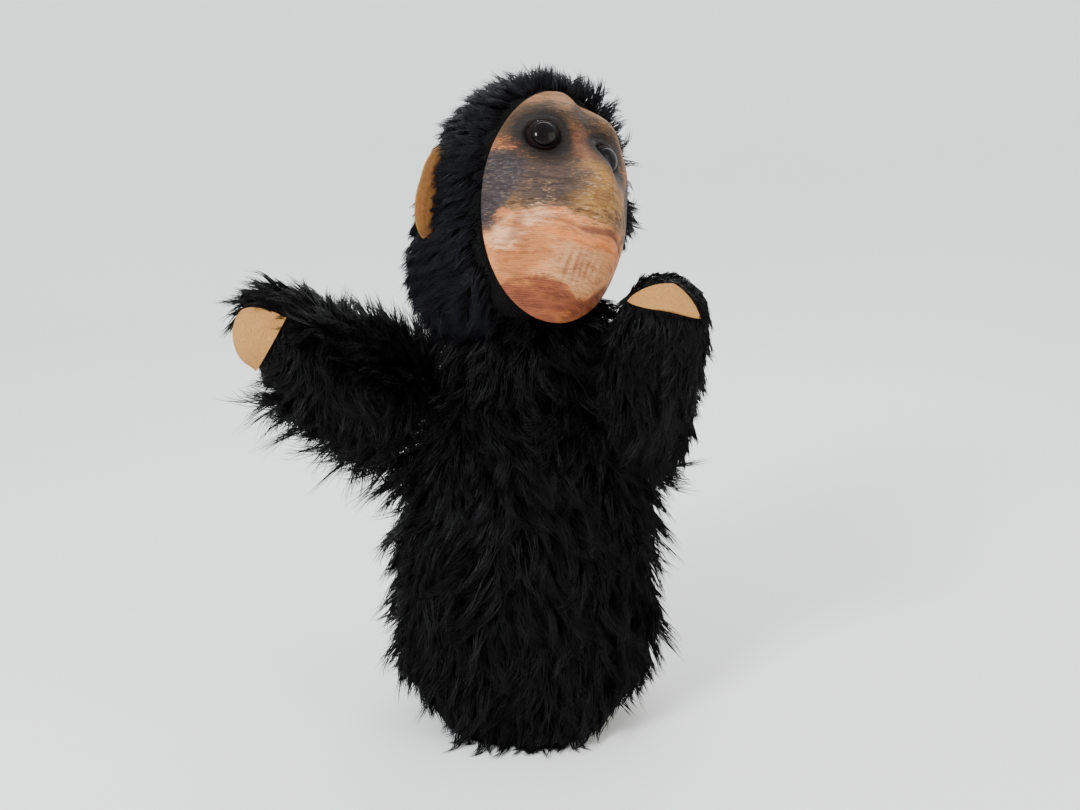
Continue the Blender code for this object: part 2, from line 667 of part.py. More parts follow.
# ---------------------------------------------------------------- the whole puppet
def main():
    clear_scene()
    materials = {name: make_material(name) for name in PALETTE}
    glove = make_empty("glove_body", FRAME_SHIFT)
    neck_base = make_empty("neck_base_body", NECK + FRAME_SHIFT, parent=glove)
    neck = make_empty("neck_body", NECK + FRAME_SHIFT, parent=neck_base)
    head = make_empty("head_body", NECK + FRAME_SHIFT, parent=neck)
    make_glove(glove, materials)
    make_neck(neck_base, neck, materials)
    place = head_place()
    make_hood(place, head, materials)
    make_stuffing(place, head, materials)
    make_face(place, head, materials)
    make_ear("left", 1.0, LEFT_EAR_SWEEP, place, head, materials)
    make_ear("right", -1.0, RIGHT_EAR_SWEEP, place, head, materials)
    arms = (("left", LEFT_SHOULDER, LEFT_ARM_DIRECTION, LEFT_PALM_FACES, LEFT_PALM_SEAM),
            ("right", RIGHT_SHOULDER, RIGHT_ARM_DIRECTION, RIGHT_PALM_FACES, RIGHT_PALM_SEAM))
    for name, shoulder, direction, palm_faces, seam in arms:
        shoulder_body = make_empty(f"{name}_shoulder_body", shoulder + FRAME_SHIFT, parent=glove)
        arm_body = make_empty(f"{name}_arm_body", shoulder + FRAME_SHIFT, parent=shoulder_body)
        make_arm(name, shoulder, direction, palm_faces, seam, shoulder_body, arm_body, materials)


main()
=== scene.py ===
"""Looks of the chimpanzee glove puppet: fur cloth with loose hair, a padded printed face, felt trimmings.

Every length is in metres. Body axes: +Z up, the puppet's front faces -Y and its left is +X.
Head axes: +X the puppet's left, +Z the crown, -Y forward.
"""

import json
import math

import bmesh
import bpy
import numpy as np
from mathutils import Matrix, Vector, noise


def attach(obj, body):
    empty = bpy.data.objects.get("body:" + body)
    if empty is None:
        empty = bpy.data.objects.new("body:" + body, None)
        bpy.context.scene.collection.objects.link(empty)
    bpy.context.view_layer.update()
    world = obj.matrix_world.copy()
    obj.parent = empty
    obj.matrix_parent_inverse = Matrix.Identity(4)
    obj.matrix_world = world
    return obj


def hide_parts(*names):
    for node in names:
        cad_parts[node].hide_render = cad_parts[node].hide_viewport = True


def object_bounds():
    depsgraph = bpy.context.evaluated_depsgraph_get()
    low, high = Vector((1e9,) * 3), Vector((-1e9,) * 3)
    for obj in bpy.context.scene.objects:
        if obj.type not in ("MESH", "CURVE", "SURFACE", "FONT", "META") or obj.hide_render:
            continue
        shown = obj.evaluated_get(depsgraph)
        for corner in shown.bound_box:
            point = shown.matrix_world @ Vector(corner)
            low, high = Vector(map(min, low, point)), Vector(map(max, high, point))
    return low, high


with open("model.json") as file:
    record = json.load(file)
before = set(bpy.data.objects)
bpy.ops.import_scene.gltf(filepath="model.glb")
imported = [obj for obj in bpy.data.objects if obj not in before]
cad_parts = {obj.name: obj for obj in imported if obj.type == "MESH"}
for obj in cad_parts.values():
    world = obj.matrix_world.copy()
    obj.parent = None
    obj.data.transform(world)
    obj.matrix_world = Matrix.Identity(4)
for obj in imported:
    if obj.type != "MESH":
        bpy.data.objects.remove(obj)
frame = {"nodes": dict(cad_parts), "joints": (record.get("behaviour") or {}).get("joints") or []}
cad_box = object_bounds()
noise.seed_set(7)                # vector noise would otherwise start from the clock

# ---------------------------------------------------------------- places, from the frame
JOINT = {joint["name"]: Vector(joint["pos_m"]) for joint in frame["joints"]}
NECK = JOINT["head_nod"]
SHOULDER = {"left": JOINT["left_arm_raise"], "right": JOINT["right_arm_raise"]}
ARM_DIRECTION = {"left": Vector((0.150, -0.540, 0.828)), "right": Vector((-0.860, -0.100, 0.500))}
PALM_FACES = {"left": Vector((0.0, -1.0, 0.15)), "right": Vector((-0.2, -1.0, 0.0))}
SIDES = {"left": 1.0, "right": -1.0}
UP = np.array((0.0, 0.0, 1.0))
LEVEL = np.array((1.0, 1.0, 0.0))

# Head: its centre from the neck joint, and how it is turned, in degrees
HEAD_RISE = Vector((0.0, 0.002, 0.069))
HEAD_TURN, HEAD_LEAN, HEAD_LIFT = 28.0, 15.0, 19.0
HOOD_HALF = Vector((0.0425, 0.0455, 0.0540))
HOOD_FULLNESS = 0.80
HOOD_TAPER = 0.12

# Glove: height, half width, half depth
GLOVE_RINGS = np.array((
    (0.000, 0.0575, 0.0450),
    (0.030, 0.0582, 0.0445),
    (0.065, 0.0572, 0.0430),
    (0.100, 0.0560, 0.0410),
    (0.125, 0.0530, 0.0385),
    (0.142, 0.0465, 0.0350),
    (0.155, 0.0360, 0.0300),
    (0.164, 0.0270, 0.0250),
    (0.170, 0.0190, 0.0190),
))
GLOVE_TOP = GLOVE_RINGS[-1, 0]
HEM_CLEARANCE = 0.0012
HEM_SIDE_LIFT, HEM_LEVEL_SHARE, HEM_RISE_TOP = 0.0180, 0.34, 0.0650
CLOTH = 0.0016                   # woven backing of the fur cloth
PILE_ROOT = 0.0045               # depth of the backing under the CAD model's surface
HOLE_RADIUS = 0.0225

# Arm: distance from the shoulder and outside radius; it starts inside the glove
ARM_RINGS = np.array((
    (-0.0112, 0.0190),
    (0.0000, 0.0212),
    (0.0155, 0.0200),
    (0.0360, 0.0192),
    (0.0520, 0.0182),
    (0.0620, 0.0162),
))
ARM_LENGTH = 0.0765
ARM_ARCH_RUN = 0.085             # length over which an arm's arch and upturn are spread
ARM_ARCH = {"left": 0.0, "right": 0.0022}
ARM_UPTURN = {"left": 0.0, "right": 0.0030}
ARM_STRETCH = {"left": 1.035, "right": 1.0}
FELT = 0.0018
# Felt palms: distance of the seam from the shoulder, how much nearer the tip it is at its middle,
# and the angles about the limb that it runs between, in degrees
PALM = {"left": (0.0638, 0.0070, 190.0, 328.0), "right": (0.0580, 0.0, 172.0, 312.0)}

# Face, in head axes
FACE_RIM_Y = -0.0255
FACE_TOP, FACE_BOTTOM, FACE_HALF_WIDTH, FACE_EGG = 0.0430, -0.0556, 0.0355, 0.10
BROW_DEPTH, MUZZLE_DEPTH = 0.0150, 0.0285
MUZZLE_CENTRE_Z = -0.0150
MUZZLE_SPREAD = (0.0286, 0.0257)
EYE_SPOT = {"left": (0.0120, 0.0122), "right": (-0.0150, 0.0167)}
EYE_OUTWARDS = {"left": 12.0, "right": -20.0}        # degrees
EYE_SINK = 0.0036
EYE_RADIUS = 0.0068
EYE_SEAT = 0.0075                # the face is held within this distance of an eye's centre
FACE_SWELL = 0.0012              # most that the stuffing moves the face's cloth

# Colours of the face's print, linear
PEACH, APRICOT = (0.58, 0.24, 0.088), (0.46, 0.155, 0.046)
PALE_PINK, BEIGE = (0.62, 0.335, 0.18), (0.46, 0.235, 0.110)
TAN, LIGHT_TAN = (0.22, 0.112, 0.043), (0.42, 0.245, 0.125)
BRONZE, UMBER = (0.105, 0.052, 0.021), (0.030, 0.017, 0.011)
BROW, GOLD = (0.26, 0.120, 0.052), (0.27, 0.130, 0.032)
ORANGE_TAN, ORANGE, RUST = (0.36, 0.125, 0.036), (0.56, 0.150, 0.030), (0.17, 0.042, 0.016)
TAUPE, SLATE, PALE_SLATE = (0.048, 0.034, 0.029), (0.028, 0.0225, 0.0255), (0.078, 0.064, 0.062)
SOCKET, LID = (0.016, 0.011, 0.008), (0.004, 0.003, 0.003)
RED_BROWN, MOUTH = (0.15, 0.036, 0.017), (0.090, 0.026, 0.024)
WORN_SHADE = (0.48, 0.43, 0.42)

# Ears: how far back each is swept from the head's side, in degrees, and how far it leans per height
EAR_ROOT = np.array((0.0375, 0.0060, 0.0012))
EAR_REACH, EAR_HALF_HEIGHT, EAR_SUNK = 0.0138, 0.0252, 0.006
EAR_SWEEP = {"left": -35.0, "right": 40.0}
EAR_LEAN = {"left": 0.16, "right": 0.40}


def smooth(low, high, x):
    """0 below low, 1 above high and an even curve between them."""
    t = np.clip((x - low) / (high - low), 0.0, 1.0)
    return t * t * (3.0 - 2.0 * t)


def bump(x, z, centre, spread):
    """A round hill of height 1 in the face's plane."""
    return np.exp(-((x - centre[0]) / spread[0]) ** 2 - ((z - centre[1]) / spread[1]) ** 2)


def unit(v):
    return v / np.maximum(np.linalg.norm(v, axis=-1, keepdims=True), 1e-9)


def axes_of(direction, face):
    """A rotation whose Z runs along a limb and whose -Y is turned towards the side that faces out."""
    z = direction.normalized()
    y = -(face - face.dot(z) * z).normalized()
    return Matrix((y.cross(z), y, z)).transposed()


def head_matrix():
    turns = ((HEAD_TURN, "Z"), (HEAD_LEAN, "Y"), (-HEAD_LIFT, "X"))
    turn, lean, lift = (Matrix.Rotation(math.radians(angle), 4, axis) for angle, axis in turns)
    return Matrix.Translation(NECK + HEAD_RISE) @ turn @ lean @ lift


HEAD = head_matrix()
ARM = {s: Matrix.Translation(SHOULDER[s]) @ axes_of(ARM_DIRECTION[s], PALM_FACES[s]).to_4x4() for s in SIDES}


def placed(matrix, points):
    """An array of points moved by a matrix."""
    m = np.array(matrix)
    return points @ m[:3, :3].T + m[:3, 3]


def arm_placed(side, points):
    """Points in an arm's axes moved to their place; cloth arms are slightly arched and turned up."""
    along = np.clip(points[:, 2] / ARM_ARCH_RUN, 0.0, 1.0)
    arch = ARM_ARCH[side] * np.sin(along * math.pi) + ARM_UPTURN[side] * along ** 2
    return placed(ARM[side], points * (1.0, 1.0, ARM_STRETCH[side])) + arch[:, None] * UP


# ---------------------------------------------------------------- node materials
class Graph:
    """A Principled material built node by node."""

    def __init__(self, name, roughness=0.8, **inputs):
        self.material = bpy.data.materials.new(name)
        self.material.use_nodes = True
        self.tree = self.material.node_tree
        self.shader = self.tree.nodes["Principled BSDF"]
        self.set(self.shader, Roughness=roughness, **inputs)

    def feed(self, sockets, values):
        """Link each socket to another one, or give it a plain value."""
        for socket, value in zip(sockets, values):
            if isinstance(value, bpy.types.NodeSocket):
                self.tree.links.new(value, socket)
            elif socket.type == "RGBA" and len(value) == 3:
                socket.default_value = (*value, 1.0)
            else:
                socket.default_value = value

    def set(self, node, **inputs):
        self.feed([node.inputs[key.replace("_", " ")] for key in inputs], inputs.values())
        return node

    def node(self, kind, settings=None, **inputs):
        made = self.tree.nodes.new("ShaderNode" + kind)
        for key, value in (settings or {}).items():
            setattr(made, key, value)
        return self.set(made, **inputs)

    def attribute(self, name, output="Fac"):
        return self.node("Attribute", {"attribute_name": name}).outputs[output]

    def place(self, scale=(1.0, 1.0, 1.0), attribute=None):
        """Coordinates for a texture: a stored place, or the object's own in the shared frame."""
        source = self.attribute(attribute, "Vector") if attribute else self.node("TexCoord").outputs["Object"]
        return self.node("Mapping", Vector=source, Scale=scale).outputs["Vector"]

    def noise(self, vector, scale, detail=2.0, roughness=0.5):
        made = self.node("TexNoise", Vector=vector, Scale=scale, Detail=detail, Roughness=roughness)
        return made.outputs["Fac"]

    def ramp(self, value, low, high, start=0.0, stop=1.0):
        made = self.node("MapRange", {"interpolation_type": "SMOOTHSTEP"}, Value=value)
        self.set(made, From_Min=low, From_Max=high, To_Min=start, To_Max=stop)
        return made.outputs["Result"]

    def maths(self, operation, a, b=0.0):
        made = self.node("Math", {"operation": operation})
        self.feed(made.inputs, (a, b))
        return made.outputs[0]

    def mix(self, share, a, b, blend="MIX"):
        made = self.node("Mix", {"data_type": "RGBA", "blend_type": blend})
        self.feed((made.inputs[0], made.inputs[6], made.inputs[7]), (share, a, b))
        return made.outputs[2]

    def bump(self, height, depth, strength=1.0):
        made = self.node("Bump", Height=height, Distance=depth, Strength=strength)
        self.set(self.shader, Normal=made.outputs["Normal"])

    def colour(self, socket):
        self.set(self.shader, Base_Color=socket)
        return self.material


def fur_material(name, root, tip, roughness):
    """Acrylic hair: darker at the root, with strands of slightly different tints."""
    g = Graph(name, roughness, Specular_IOR_Level=0.11)
    uv = g.node("SeparateXYZ", Vector=g.node("UVMap", {"uv_map": "OFBake"}).outputs["UV"])
    tint = g.ramp(uv.outputs["X"], 0.0, 1.0, 0.55, 1.45)
    # Colour from root to tip; the blue in the tip colours is a painted cool sheen
    along = g.mix(g.ramp(uv.outputs["Y"], 0.05, 0.95), root, tip)
    shade = g.node("CombineColor", Red=tint, Green=tint, Blue=tint).outputs["Color"]
    return g.colour(g.mix(1.0, along, shade, "MULTIPLY"))


def backing_material(name, colour):
    """The dense under-pile and woven backing between the locks."""
    g = Graph(name, 0.95, Specular_IOR_Level=0.12)
    fine = g.noise(g.place(), 900.0, 4.0, 0.7)
    g.bump(fine, 0.0012)
    return g.colour(g.mix(g.ramp(fine, 0.3, 0.8), tuple(0.35 * c for c in colour), colour))


def felt_material(name, colour, dark):
    """Pressed wool: fine crossing fibres, a soft sheen and rubbed patches."""
    g = Graph(name, 0.95, Specular_IOR_Level=0.06, Sheen_Weight=0.06, Sheen_Roughness=0.5,
              Sheen_Tint=(1.0, 0.80, 0.50, 1.0))
    fibres = g.noise(g.place((1.0, 1.0, 5.0)), 700.0, 5.0, 0.75)
    crossing = g.noise(g.place((5.0, 1.0, 1.0)), 620.0, 5.0, 0.75)
    worn = g.noise(g.place(), 70.0, 3.0)
    both = g.maths("ADD", fibres, crossing)
    g.bump(both, 0.0007)
    base = g.mix(g.ramp(both, 0.75, 1.25), dark, colour)
    return g.colour(g.mix(g.ramp(worn, 0.35, 0.75, 0.0, 0.45), base, tuple(0.72 * c for c in colour)))


def weave_material(name, colour, pitch, roughness=0.9):
    """Plain woven cloth: two crossing sets of threads."""
    g = Graph(name, roughness, Specular_IOR_Level=0.2)
    place = g.place()
    lines = [g.node("TexWave", {"bands_direction": d}, Vector=place, Scale=0.5 / pitch,
                    Distortion=0.6, Detail=1.0).outputs["Fac"] for d in ("X", "Z")]
    weave = g.maths("MULTIPLY", *lines)
    g.bump(weave, 0.0004)
    return g.colour(g.mix(weave, tuple(0.6 * c for c in colour), colour))


def card_material():
    g = Graph("rolled_card", 0.85, Specular_IOR_Level=0.2)
    fibre = g.noise(g.place((1.0, 1.0, 6.0)), 500.0, 4.0, 0.7)
    g.bump(fibre, 0.0003)
    return g.colour(g.mix(fibre, (0.26, 0.17, 0.09), (0.52, 0.38, 0.22)))


def plastic_material(name, colour, roughness, gloss=0.5):
    """Moulded plastic with a faint unevenness in its polish."""
    g = Graph(name, roughness, Specular_IOR_Level=gloss)
    cloud = g.noise(g.place(), 260.0, 3.0)
    g.set(g.shader, Roughness=g.ramp(cloud, 0.2, 0.9, roughness * 0.8, roughness * 1.6))
    return g.colour(g.mix(cloud, tuple(0.8 * c for c in colour), tuple(min(1.2 * c, 1.0) for c in colour)))


# ---------------------------------------------------------------- meshes
def mesh_of(name, points, faces, material=None, sharp=None):
    """A new smooth mesh object from an array of points and one or more arrays of faces."""
    faces = [np.asarray(f) for f in (faces if isinstance(faces, list) else [faces]) if len(f)]
    mesh = bpy.data.meshes.new(name)
    mesh.vertices.add(len(points))
    mesh.vertices.foreach_set("co", np.asarray(points, np.float32).ravel())
    sizes = np.concatenate([np.full(len(f), f.shape[1]) for f in faces])
    mesh.loops.add(int(sizes.sum()))
    mesh.loops.foreach_set("vertex_index", np.concatenate([f.ravel() for f in faces]).astype(np.int32))
    mesh.polygons.add(len(sizes))
    mesh.polygons.foreach_set("loop_start", np.concatenate([[0], np.cumsum(sizes)[:-1]]).astype(np.int32))
    mesh.polygons.foreach_set("use_smooth", np.ones(len(sizes), bool))
    mesh.update(calc_edges=True)
    mesh.validate()
    if sharp:
        mesh.set_sharp_from_angle(angle=math.radians(sharp))
    if material:
        mesh.materials.append(material)
    made = bpy.data.objects.new(name, mesh)
    bpy.context.scene.collection.objects.link(made)
    return made


def ring_faces(rings, steps, wrap=False):
    """Quads of a grid of closed rings; wrap also joins the last ring to the first."""
    r = np.arange(rings if wrap else rings - 1)[:, None]
    s = np.arange(steps)[None, :]
    t = (s + 1) % steps
    up = (r + 1) % rings
    corners = np.broadcast_arrays(r * steps + s, r * steps + t, up * steps + t, up * steps + s)
    return np.stack(corners, -1).reshape(-1, 4)


def circles(outline, steps, wide=1.0, deep=1.0, gather=1.0):
    """Level rings of points about Z, one for each (radius, height) of an outline."""
    angles = np.arange(steps) / steps * math.tau
    return np.concatenate([np.stack([wide * r * gather * np.cos(angles), deep * r * gather * np.sin(angles),
                                     np.full(steps, h)], -1) for r, h in outline])


def read(items, key, width=3, kind=np.float32):
    """Rows of values of a mesh's vertices, triangles or loops."""
    values = np.empty(len(items) * width, kind)
    items.foreach_get(key, values)
    return values.reshape(-1, width)


def move_points(mesh, points):
    mesh.vertices.foreach_set("co", points.astype(np.float32).ravel())
    mesh.update()


def wobble(points, size, scale, seed):
    """Soft unevenness for a set of points: a smooth random value for each."""
    offset = Vector((seed * 17.3, seed * 5.1, seed * 9.7))
    return np.array([noise.noise(Vector(p) * scale + offset) for p in points]) * size


def bake_modifiers(piece):
    graph = bpy.context.evaluated_depsgraph_get()
    finished = piece.evaluated_get(graph)
    mesh = bpy.data.meshes.new_from_object(finished, preserve_all_data_layers=True, depsgraph=graph)
    piece.modifiers.clear()
    piece.data = mesh


def cut_spheres(piece, spheres):
    for centre, radius in spheres:
        bpy.ops.mesh.primitive_uv_sphere_add(segments=48, ring_count=24, radius=radius, location=centre)
        cutter = bpy.context.object
        step = piece.modifiers.new("cut", "BOOLEAN")
        step.object = cutter
        bake_modifiers(piece)
        bpy.data.objects.remove(cutter)


# ---------------------------------------------------------------- cloth skins under the hair
def hem_rise(height, sideways):
    """How far the glove's cloth is raised: the hem rests on its front and back and rises at the two sides."""
    share = smooth(HEM_LEVEL_SHARE, 1.0, np.abs(sideways))
    return HEM_SIDE_LIFT * share * np.maximum(0.0, 1.0 - height / HEM_RISE_TOP)


def glove_skin(backing):
    """The glove's fur cloth before its arm holes are cut: a sleeve, open at its hem and neck."""
    steps = 120
    heights = np.concatenate([np.linspace(HEM_CLEARANCE, 0.140, 40), np.linspace(0.143, GLOVE_TOP, 14)])
    angles = np.arange(steps) / steps * math.tau
    rings = []
    for depth, levels in ((PILE_ROOT, heights), (PILE_ROOT + CLOTH, heights[::-1])):
        for z in levels:
            a = np.interp(z, GLOVE_RINGS[:, 0], GLOVE_RINGS[:, 1]) - depth
            b = np.interp(z, GLOVE_RINGS[:, 0], GLOVE_RINGS[:, 2]) - depth
            fold = 1.0 + 0.018 * np.sin(angles * 5.0 + z * 30.0) * (1.0 - z / GLOVE_TOP)
            rings.append(np.stack([NECK.x + a * fold * np.cos(angles), NECK.y + b * fold * np.sin(angles),
                                   z + hem_rise(z, np.cos(angles))], -1))
    points = np.concatenate(rings)
    return mesh_of("glove_cloth", points, ring_faces(len(rings), steps, wrap=True), backing, sharp=60.0)


def arm_profile(inset):
    """Points (radius, distance) from the arm's root to its rounded tip."""
    distances = np.linspace(ARM_RINGS[0, 0], ARM_RINGS[-1, 0], 24)
    line = [(np.interp(t, ARM_RINGS[:, 0], ARM_RINGS[:, 1]) - inset, t) for t in distances]
    wrist, radius = ARM_RINGS[-1]
    reach = ARM_LENGTH - 0.002 - inset - wrist
    turns = np.linspace(0.0, 1.56, 14)[1:]
    return line + [((radius - inset) * math.cos(a), wrist + reach * math.sin(a)) for a in turns]


def arm_skin(side, backing):
    """A sleeve with a rounded tip; the root is open and lies inside the glove."""
    steps = 48
    outline = arm_profile(0.0) + arm_profile(CLOTH)[::-1]
    points = arm_placed(side, circles(outline, steps))
    faces = ring_faces(len(outline), steps, wrap=True)
    return mesh_of(f"{side}_arm_cloth", points, faces, backing, sharp=60.0)


def egg_radius(height):
    """The hood's radius, as a share of its half width, at a height from -1 at the chin to 1 at the crown."""
    angle = np.arccos(np.clip(height, -1.0, 1.0))
    fullness = np.where(angle > math.pi / 2, HOOD_FULLNESS, 1.0)
    return np.maximum(np.sin(angle), 0.0) ** fullness * (1.0 - HOOD_TAPER * np.cos(angle))


def hood_skin(backing):
    """The stuffed hood under its short pile, as one oval that the face is sewn on."""
    steps, rows = 72, 48
    heights = np.cos(np.linspace(math.pi - 0.02, 0.02, rows))
    outline = zip(egg_radius(heights) * 0.985, heights * HOOD_HALF.z)
    points = circles(outline, steps, HOOD_HALF.x, HOOD_HALF.y)
    lean = 0.0030 * smooth(0.0, 0.05, points[:, 2]) - 0.0055 * smooth(0.0, -0.045, points[:, 2])
    points = placed(HEAD.inverted(), placed(HEAD, points) + lean[:, None] * np.array((1.0, 0.0, 0.0)))
    share = face_share(points[:, 0], points[:, 2])
    behind_rim = FACE_RIM_Y + 0.0012
    under = smooth(1.16, 1.02, share) * (points[:, 1] < behind_rim)
    points[:, 1] += (behind_rim - points[:, 1]) * under
    ring = np.arange(steps)[None]
    faces = [ring_faces(rows, steps), ring[:, ::-1], ring + (rows - 1) * steps]
    return mesh_of("hood_cloth", placed(HEAD, points), faces, backing)


def neck_skin(backing):
    """The gathered neck: a round column whose foot lies inside the glove and whose top lies in the hood."""
    steps = 64
    outline = [(0.0255, -0.014), (0.0290, -0.004), (0.0320, 0.006), (0.0325, 0.018), (0.0300, 0.030),
               (0.0285, 0.030), (0.0310, 0.018), (0.0305, 0.006), (0.0275, -0.004), (0.0240, -0.014)]
    gather = 1.0 + 0.03 * np.cos(np.arange(steps) / steps * math.tau * 13.0)
    points = circles(outline, steps, deep=0.9, gather=gather) + np.array(NECK)
    return mesh_of("neck_cloth", points, ring_faces(len(outline), steps, wrap=True), backing)


# ---------------------------------------------------------------- hair
STRAND_SIDES = 3
STRAND_RADIUS = 0.00026
STRAND_REST = np.array((0.31, 0.87, 0.38))       # a direction that no strand follows
KEEP_ABOVE = 0.0006              # lowest point of a strand over the floor
HEM_SPREAD = 0.8                 # how far hair that would pass the floor turns outwards instead
FRIZZ = 0.045
TIP_ROOM = 0.0040
BOX_SHARE, BOX_MARGIN, BOX_SPARE = 0.03, 0.010, 0.0015     # room for hair round the CAD model's box
MOST_TRIANGLES = 195000          # in one piece
TINTS = 16
BODY_LOCKS, ARM_LOCKS, NECK_LOCKS, HOOD_LOCKS = 5400, 1250, 1300, 3600
BODY_LENGTH, ARM_HAIR_LENGTH, NECK_LENGTH, HOOD_LENGTH = 0.0230, 0.0190, 0.0200, 0.0110
DOWN = np.array((0.0, 0.0, -1.0))


def surface_samples(piece, count, rng):
    """Random places on a mesh's outside, evenly by area, with their normals."""
    mesh = piece.data
    mesh.calc_loop_triangles()
    tris = read(mesh.loop_triangles, "vertices", kind=np.int32)
    normals = read(mesh.vertices, "normal")
    corner = read(mesh.vertices, "co").astype(float)[tris]
    area = np.linalg.norm(np.cross(corner[:, 1] - corner[:, 0], corner[:, 2] - corner[:, 0]), axis=1)
    chosen = rng.choice(len(tris), count, p=area / area.sum())
    u, v = rng.random(count), rng.random(count)
    flip = u + v > 1.0
    u[flip], v[flip] = 1.0 - u[flip], 1.0 - v[flip]
    weights = np.stack([1.0 - u - v, u, v], -1)[..., None]
    return (corner[chosen] * weights).sum(1), unit((normals[tris[chosen]] * weights).sum(1))


def faces_out(root, normal, centre):
    """Whether the cloth at each place is turned away from the vertical line through a centre."""
    return ((root - centre) * LEVEL * normal).sum(-1) > 0.0


def some_lift(rng, count, middle, spread, least, most=1.2):
    """How steeply each lock leaves the cloth."""
    return np.clip(rng.normal(middle, spread, count), least, most)


def flow_noise(points, scale, seed):
    """A smooth random direction at each point, so that neighbouring locks lean the same way."""
    offset = Vector((seed * 3.7, seed * 11.3, seed * 7.9))
    return np.array([noise.noise_vector(Vector(p) * scale + offset) for p in points])


def lock_lines(root, normal, comb, length, lift, droop, curl, knots, rng):
    """Centre lines of locks: each leaves the cloth at its lift, lies over along the comb and then hooks."""
    count = len(root)
    side = np.cross(normal, comb)
    alike = flow_noise(root, 60.0, 9)[:, :1] * 2.2
    hook = (rng.normal(0.0, 0.6, (count, 1)) + alike) * curl
    rise = rng.normal(0.0, 0.35, (count, 1)) * curl
    line = [root]
    step = length[:, None] / (knots - 1)
    for k in range(1, knots):
        s = (k - 0.5) / (knots - 1)
        out = lift[:, None] * (1.0 - 0.55 * s) + rise * s * s
        heading = comb * (1.0 - 0.25 * lift[:, None]) + normal * out + side * hook * (s * s * 1.6)
        heading[:, 2] -= droop * s
        line.append(line[-1] + unit(heading) * step)
    return np.stack(line, 1)


def hair(name, root, normal, comb, body, material, length, lift, seed, droop=0.0, curl=0.5, strands=12,
         spread=0.0028, clump=0.90, radius=STRAND_RADIUS, knots=6):
    """Locks of hair as closed tapered strands, in pieces that the STL limit can take."""
    rng = np.random.default_rng(seed)
    count = len(root)
    lines = lock_lines(root, normal, comb, length, lift, droop, curl, knots, rng)
    side = unit(np.cross(normal, comb))
    front = np.cross(side, normal)
    angle = rng.random((count, strands)) * math.tau
    reach = np.sqrt(rng.random((count, strands))) * spread
    shift = side[:, None] * (np.cos(angle) * reach)[..., None]
    shift = shift + front[:, None] * (np.sin(angle) * reach)[..., None]
    along = np.linspace(0.0, 1.0, knots)
    gather = 1.0 - clump * smooth(0.15, 1.0, along)
    own = 0.72 + 0.28 * rng.random((count, strands))
    centre = lines[:, None] - lines[:, None, :1]
    path = root[:, None, None] + centre * own[..., None, None] + shift[:, :, None] * gather[:, None]
    loose = rng.normal(0.0, 1.0, (count, strands, 1, 3)) * (length * FRIZZ)[:, None, None, None]
    path = (path + loose * (along ** 2)[:, None]).reshape(-1, knots, 3)
    below = np.maximum(KEEP_ABOVE - path[..., 2], 0.0)
    outwards = np.repeat(unit(normal * LEVEL), strands, 0)[:, None]
    path = inside_box(path + outwards * below[..., None] * HEM_SPREAD)
    path[..., 2] = np.maximum(path[..., 2], KEEP_ABOVE + below * 0.10)
    strand_meshes(name, path, radius, body, material, rng)


def inside_box(path):
    """Curls loose tips back so that the hair stays within the space round the CAD model's box."""
    low, high = np.array(cad_box[0]), np.array(cad_box[1])
    margin = (high - low) * BOX_SHARE + BOX_MARGIN - BOX_SPARE
    low, high = low - margin + TIP_ROOM, high + margin - TIP_ROOM
    path = high + TIP_ROOM * np.tanh(np.maximum(path - high, 0.0) / TIP_ROOM) + np.minimum(path - high, 0.0)
    return low - TIP_ROOM * np.tanh(np.maximum(low - path, 0.0) / TIP_ROOM) + np.maximum(path - low, 0.0)


def strand_meshes(name, path, radius, body, material, rng):
    """Closed strands about their centre lines, each ending in a point."""
    count, knots = path.shape[:2]
    along = np.linspace(0.0, 1.0, knots)
    heading = unit(np.gradient(path, axis=1))
    across = unit(np.cross(heading, STRAND_REST))
    other = np.cross(heading, across)
    width = radius * (0.55 + 0.45 * smooth(0.0, 0.25, along)) * (1.0 - along ** 2.2)
    size = ((0.7 + 0.6 * rng.random(count))[:, None] * width)[:, :-1, None, None]
    turn = (np.arange(STRAND_SIDES) * math.tau / STRAND_SIDES)[:, None]
    centre, across, other = (values[:, :-1, None] for values in (path, across, other))
    rings = centre + across * np.cos(turn) * size + other * np.sin(turn) * size
    points = np.concatenate([rings.reshape(count, -1, 3), path[:, -1:]], 1)
    per = points.shape[1]
    last = per - 1 - STRAND_SIDES
    sides = ring_faces(knots - 1, STRAND_SIDES)
    tip = np.array([(last + s, last + (s + 1) % STRAND_SIDES, per - 1) for s in range(STRAND_SIDES)])
    base = np.array([range(STRAND_SIDES - 1, -1, -1)])
    tint = (rng.integers(0, TINTS, count) + 0.5) / TINTS
    height = np.append(np.repeat(along[:-1], STRAND_SIDES), 1.0)
    most = int(MOST_TRIANGLES / (2 * len(sides) + len(tip) + 1))
    parts = max(1, math.ceil(count / most))
    for part in range(parts):
        pick = np.arange(part, count, parts)
        start = (np.arange(len(pick)) * per)[:, None, None]
        faces = [(some + start).reshape(-1, some.shape[1]) for some in (sides, tip, base)]
        piece_name = f"{name}_{part + 1}" if parts > 1 else name
        made = mesh_of(piece_name, points[pick].reshape(-1, 3), faces, material)
        index = read(made.data.loops, "vertex_index", 1, np.int32)[:, 0]
        uv = np.stack([tint[pick][index // per], height[index % per]], -1)
        made.data.uv_layers.new(name="OFBake").data.foreach_set("uv", uv.astype(np.float32).ravel())
        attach(made, body)


def combed(normal, direction):
    """A direction laid flat on the cloth."""
    direction = np.broadcast_to(np.asarray(direction, float), normal.shape)
    flat = direction - (direction * normal).sum(-1, keepdims=True) * normal
    return unit(flat + 1e-6)


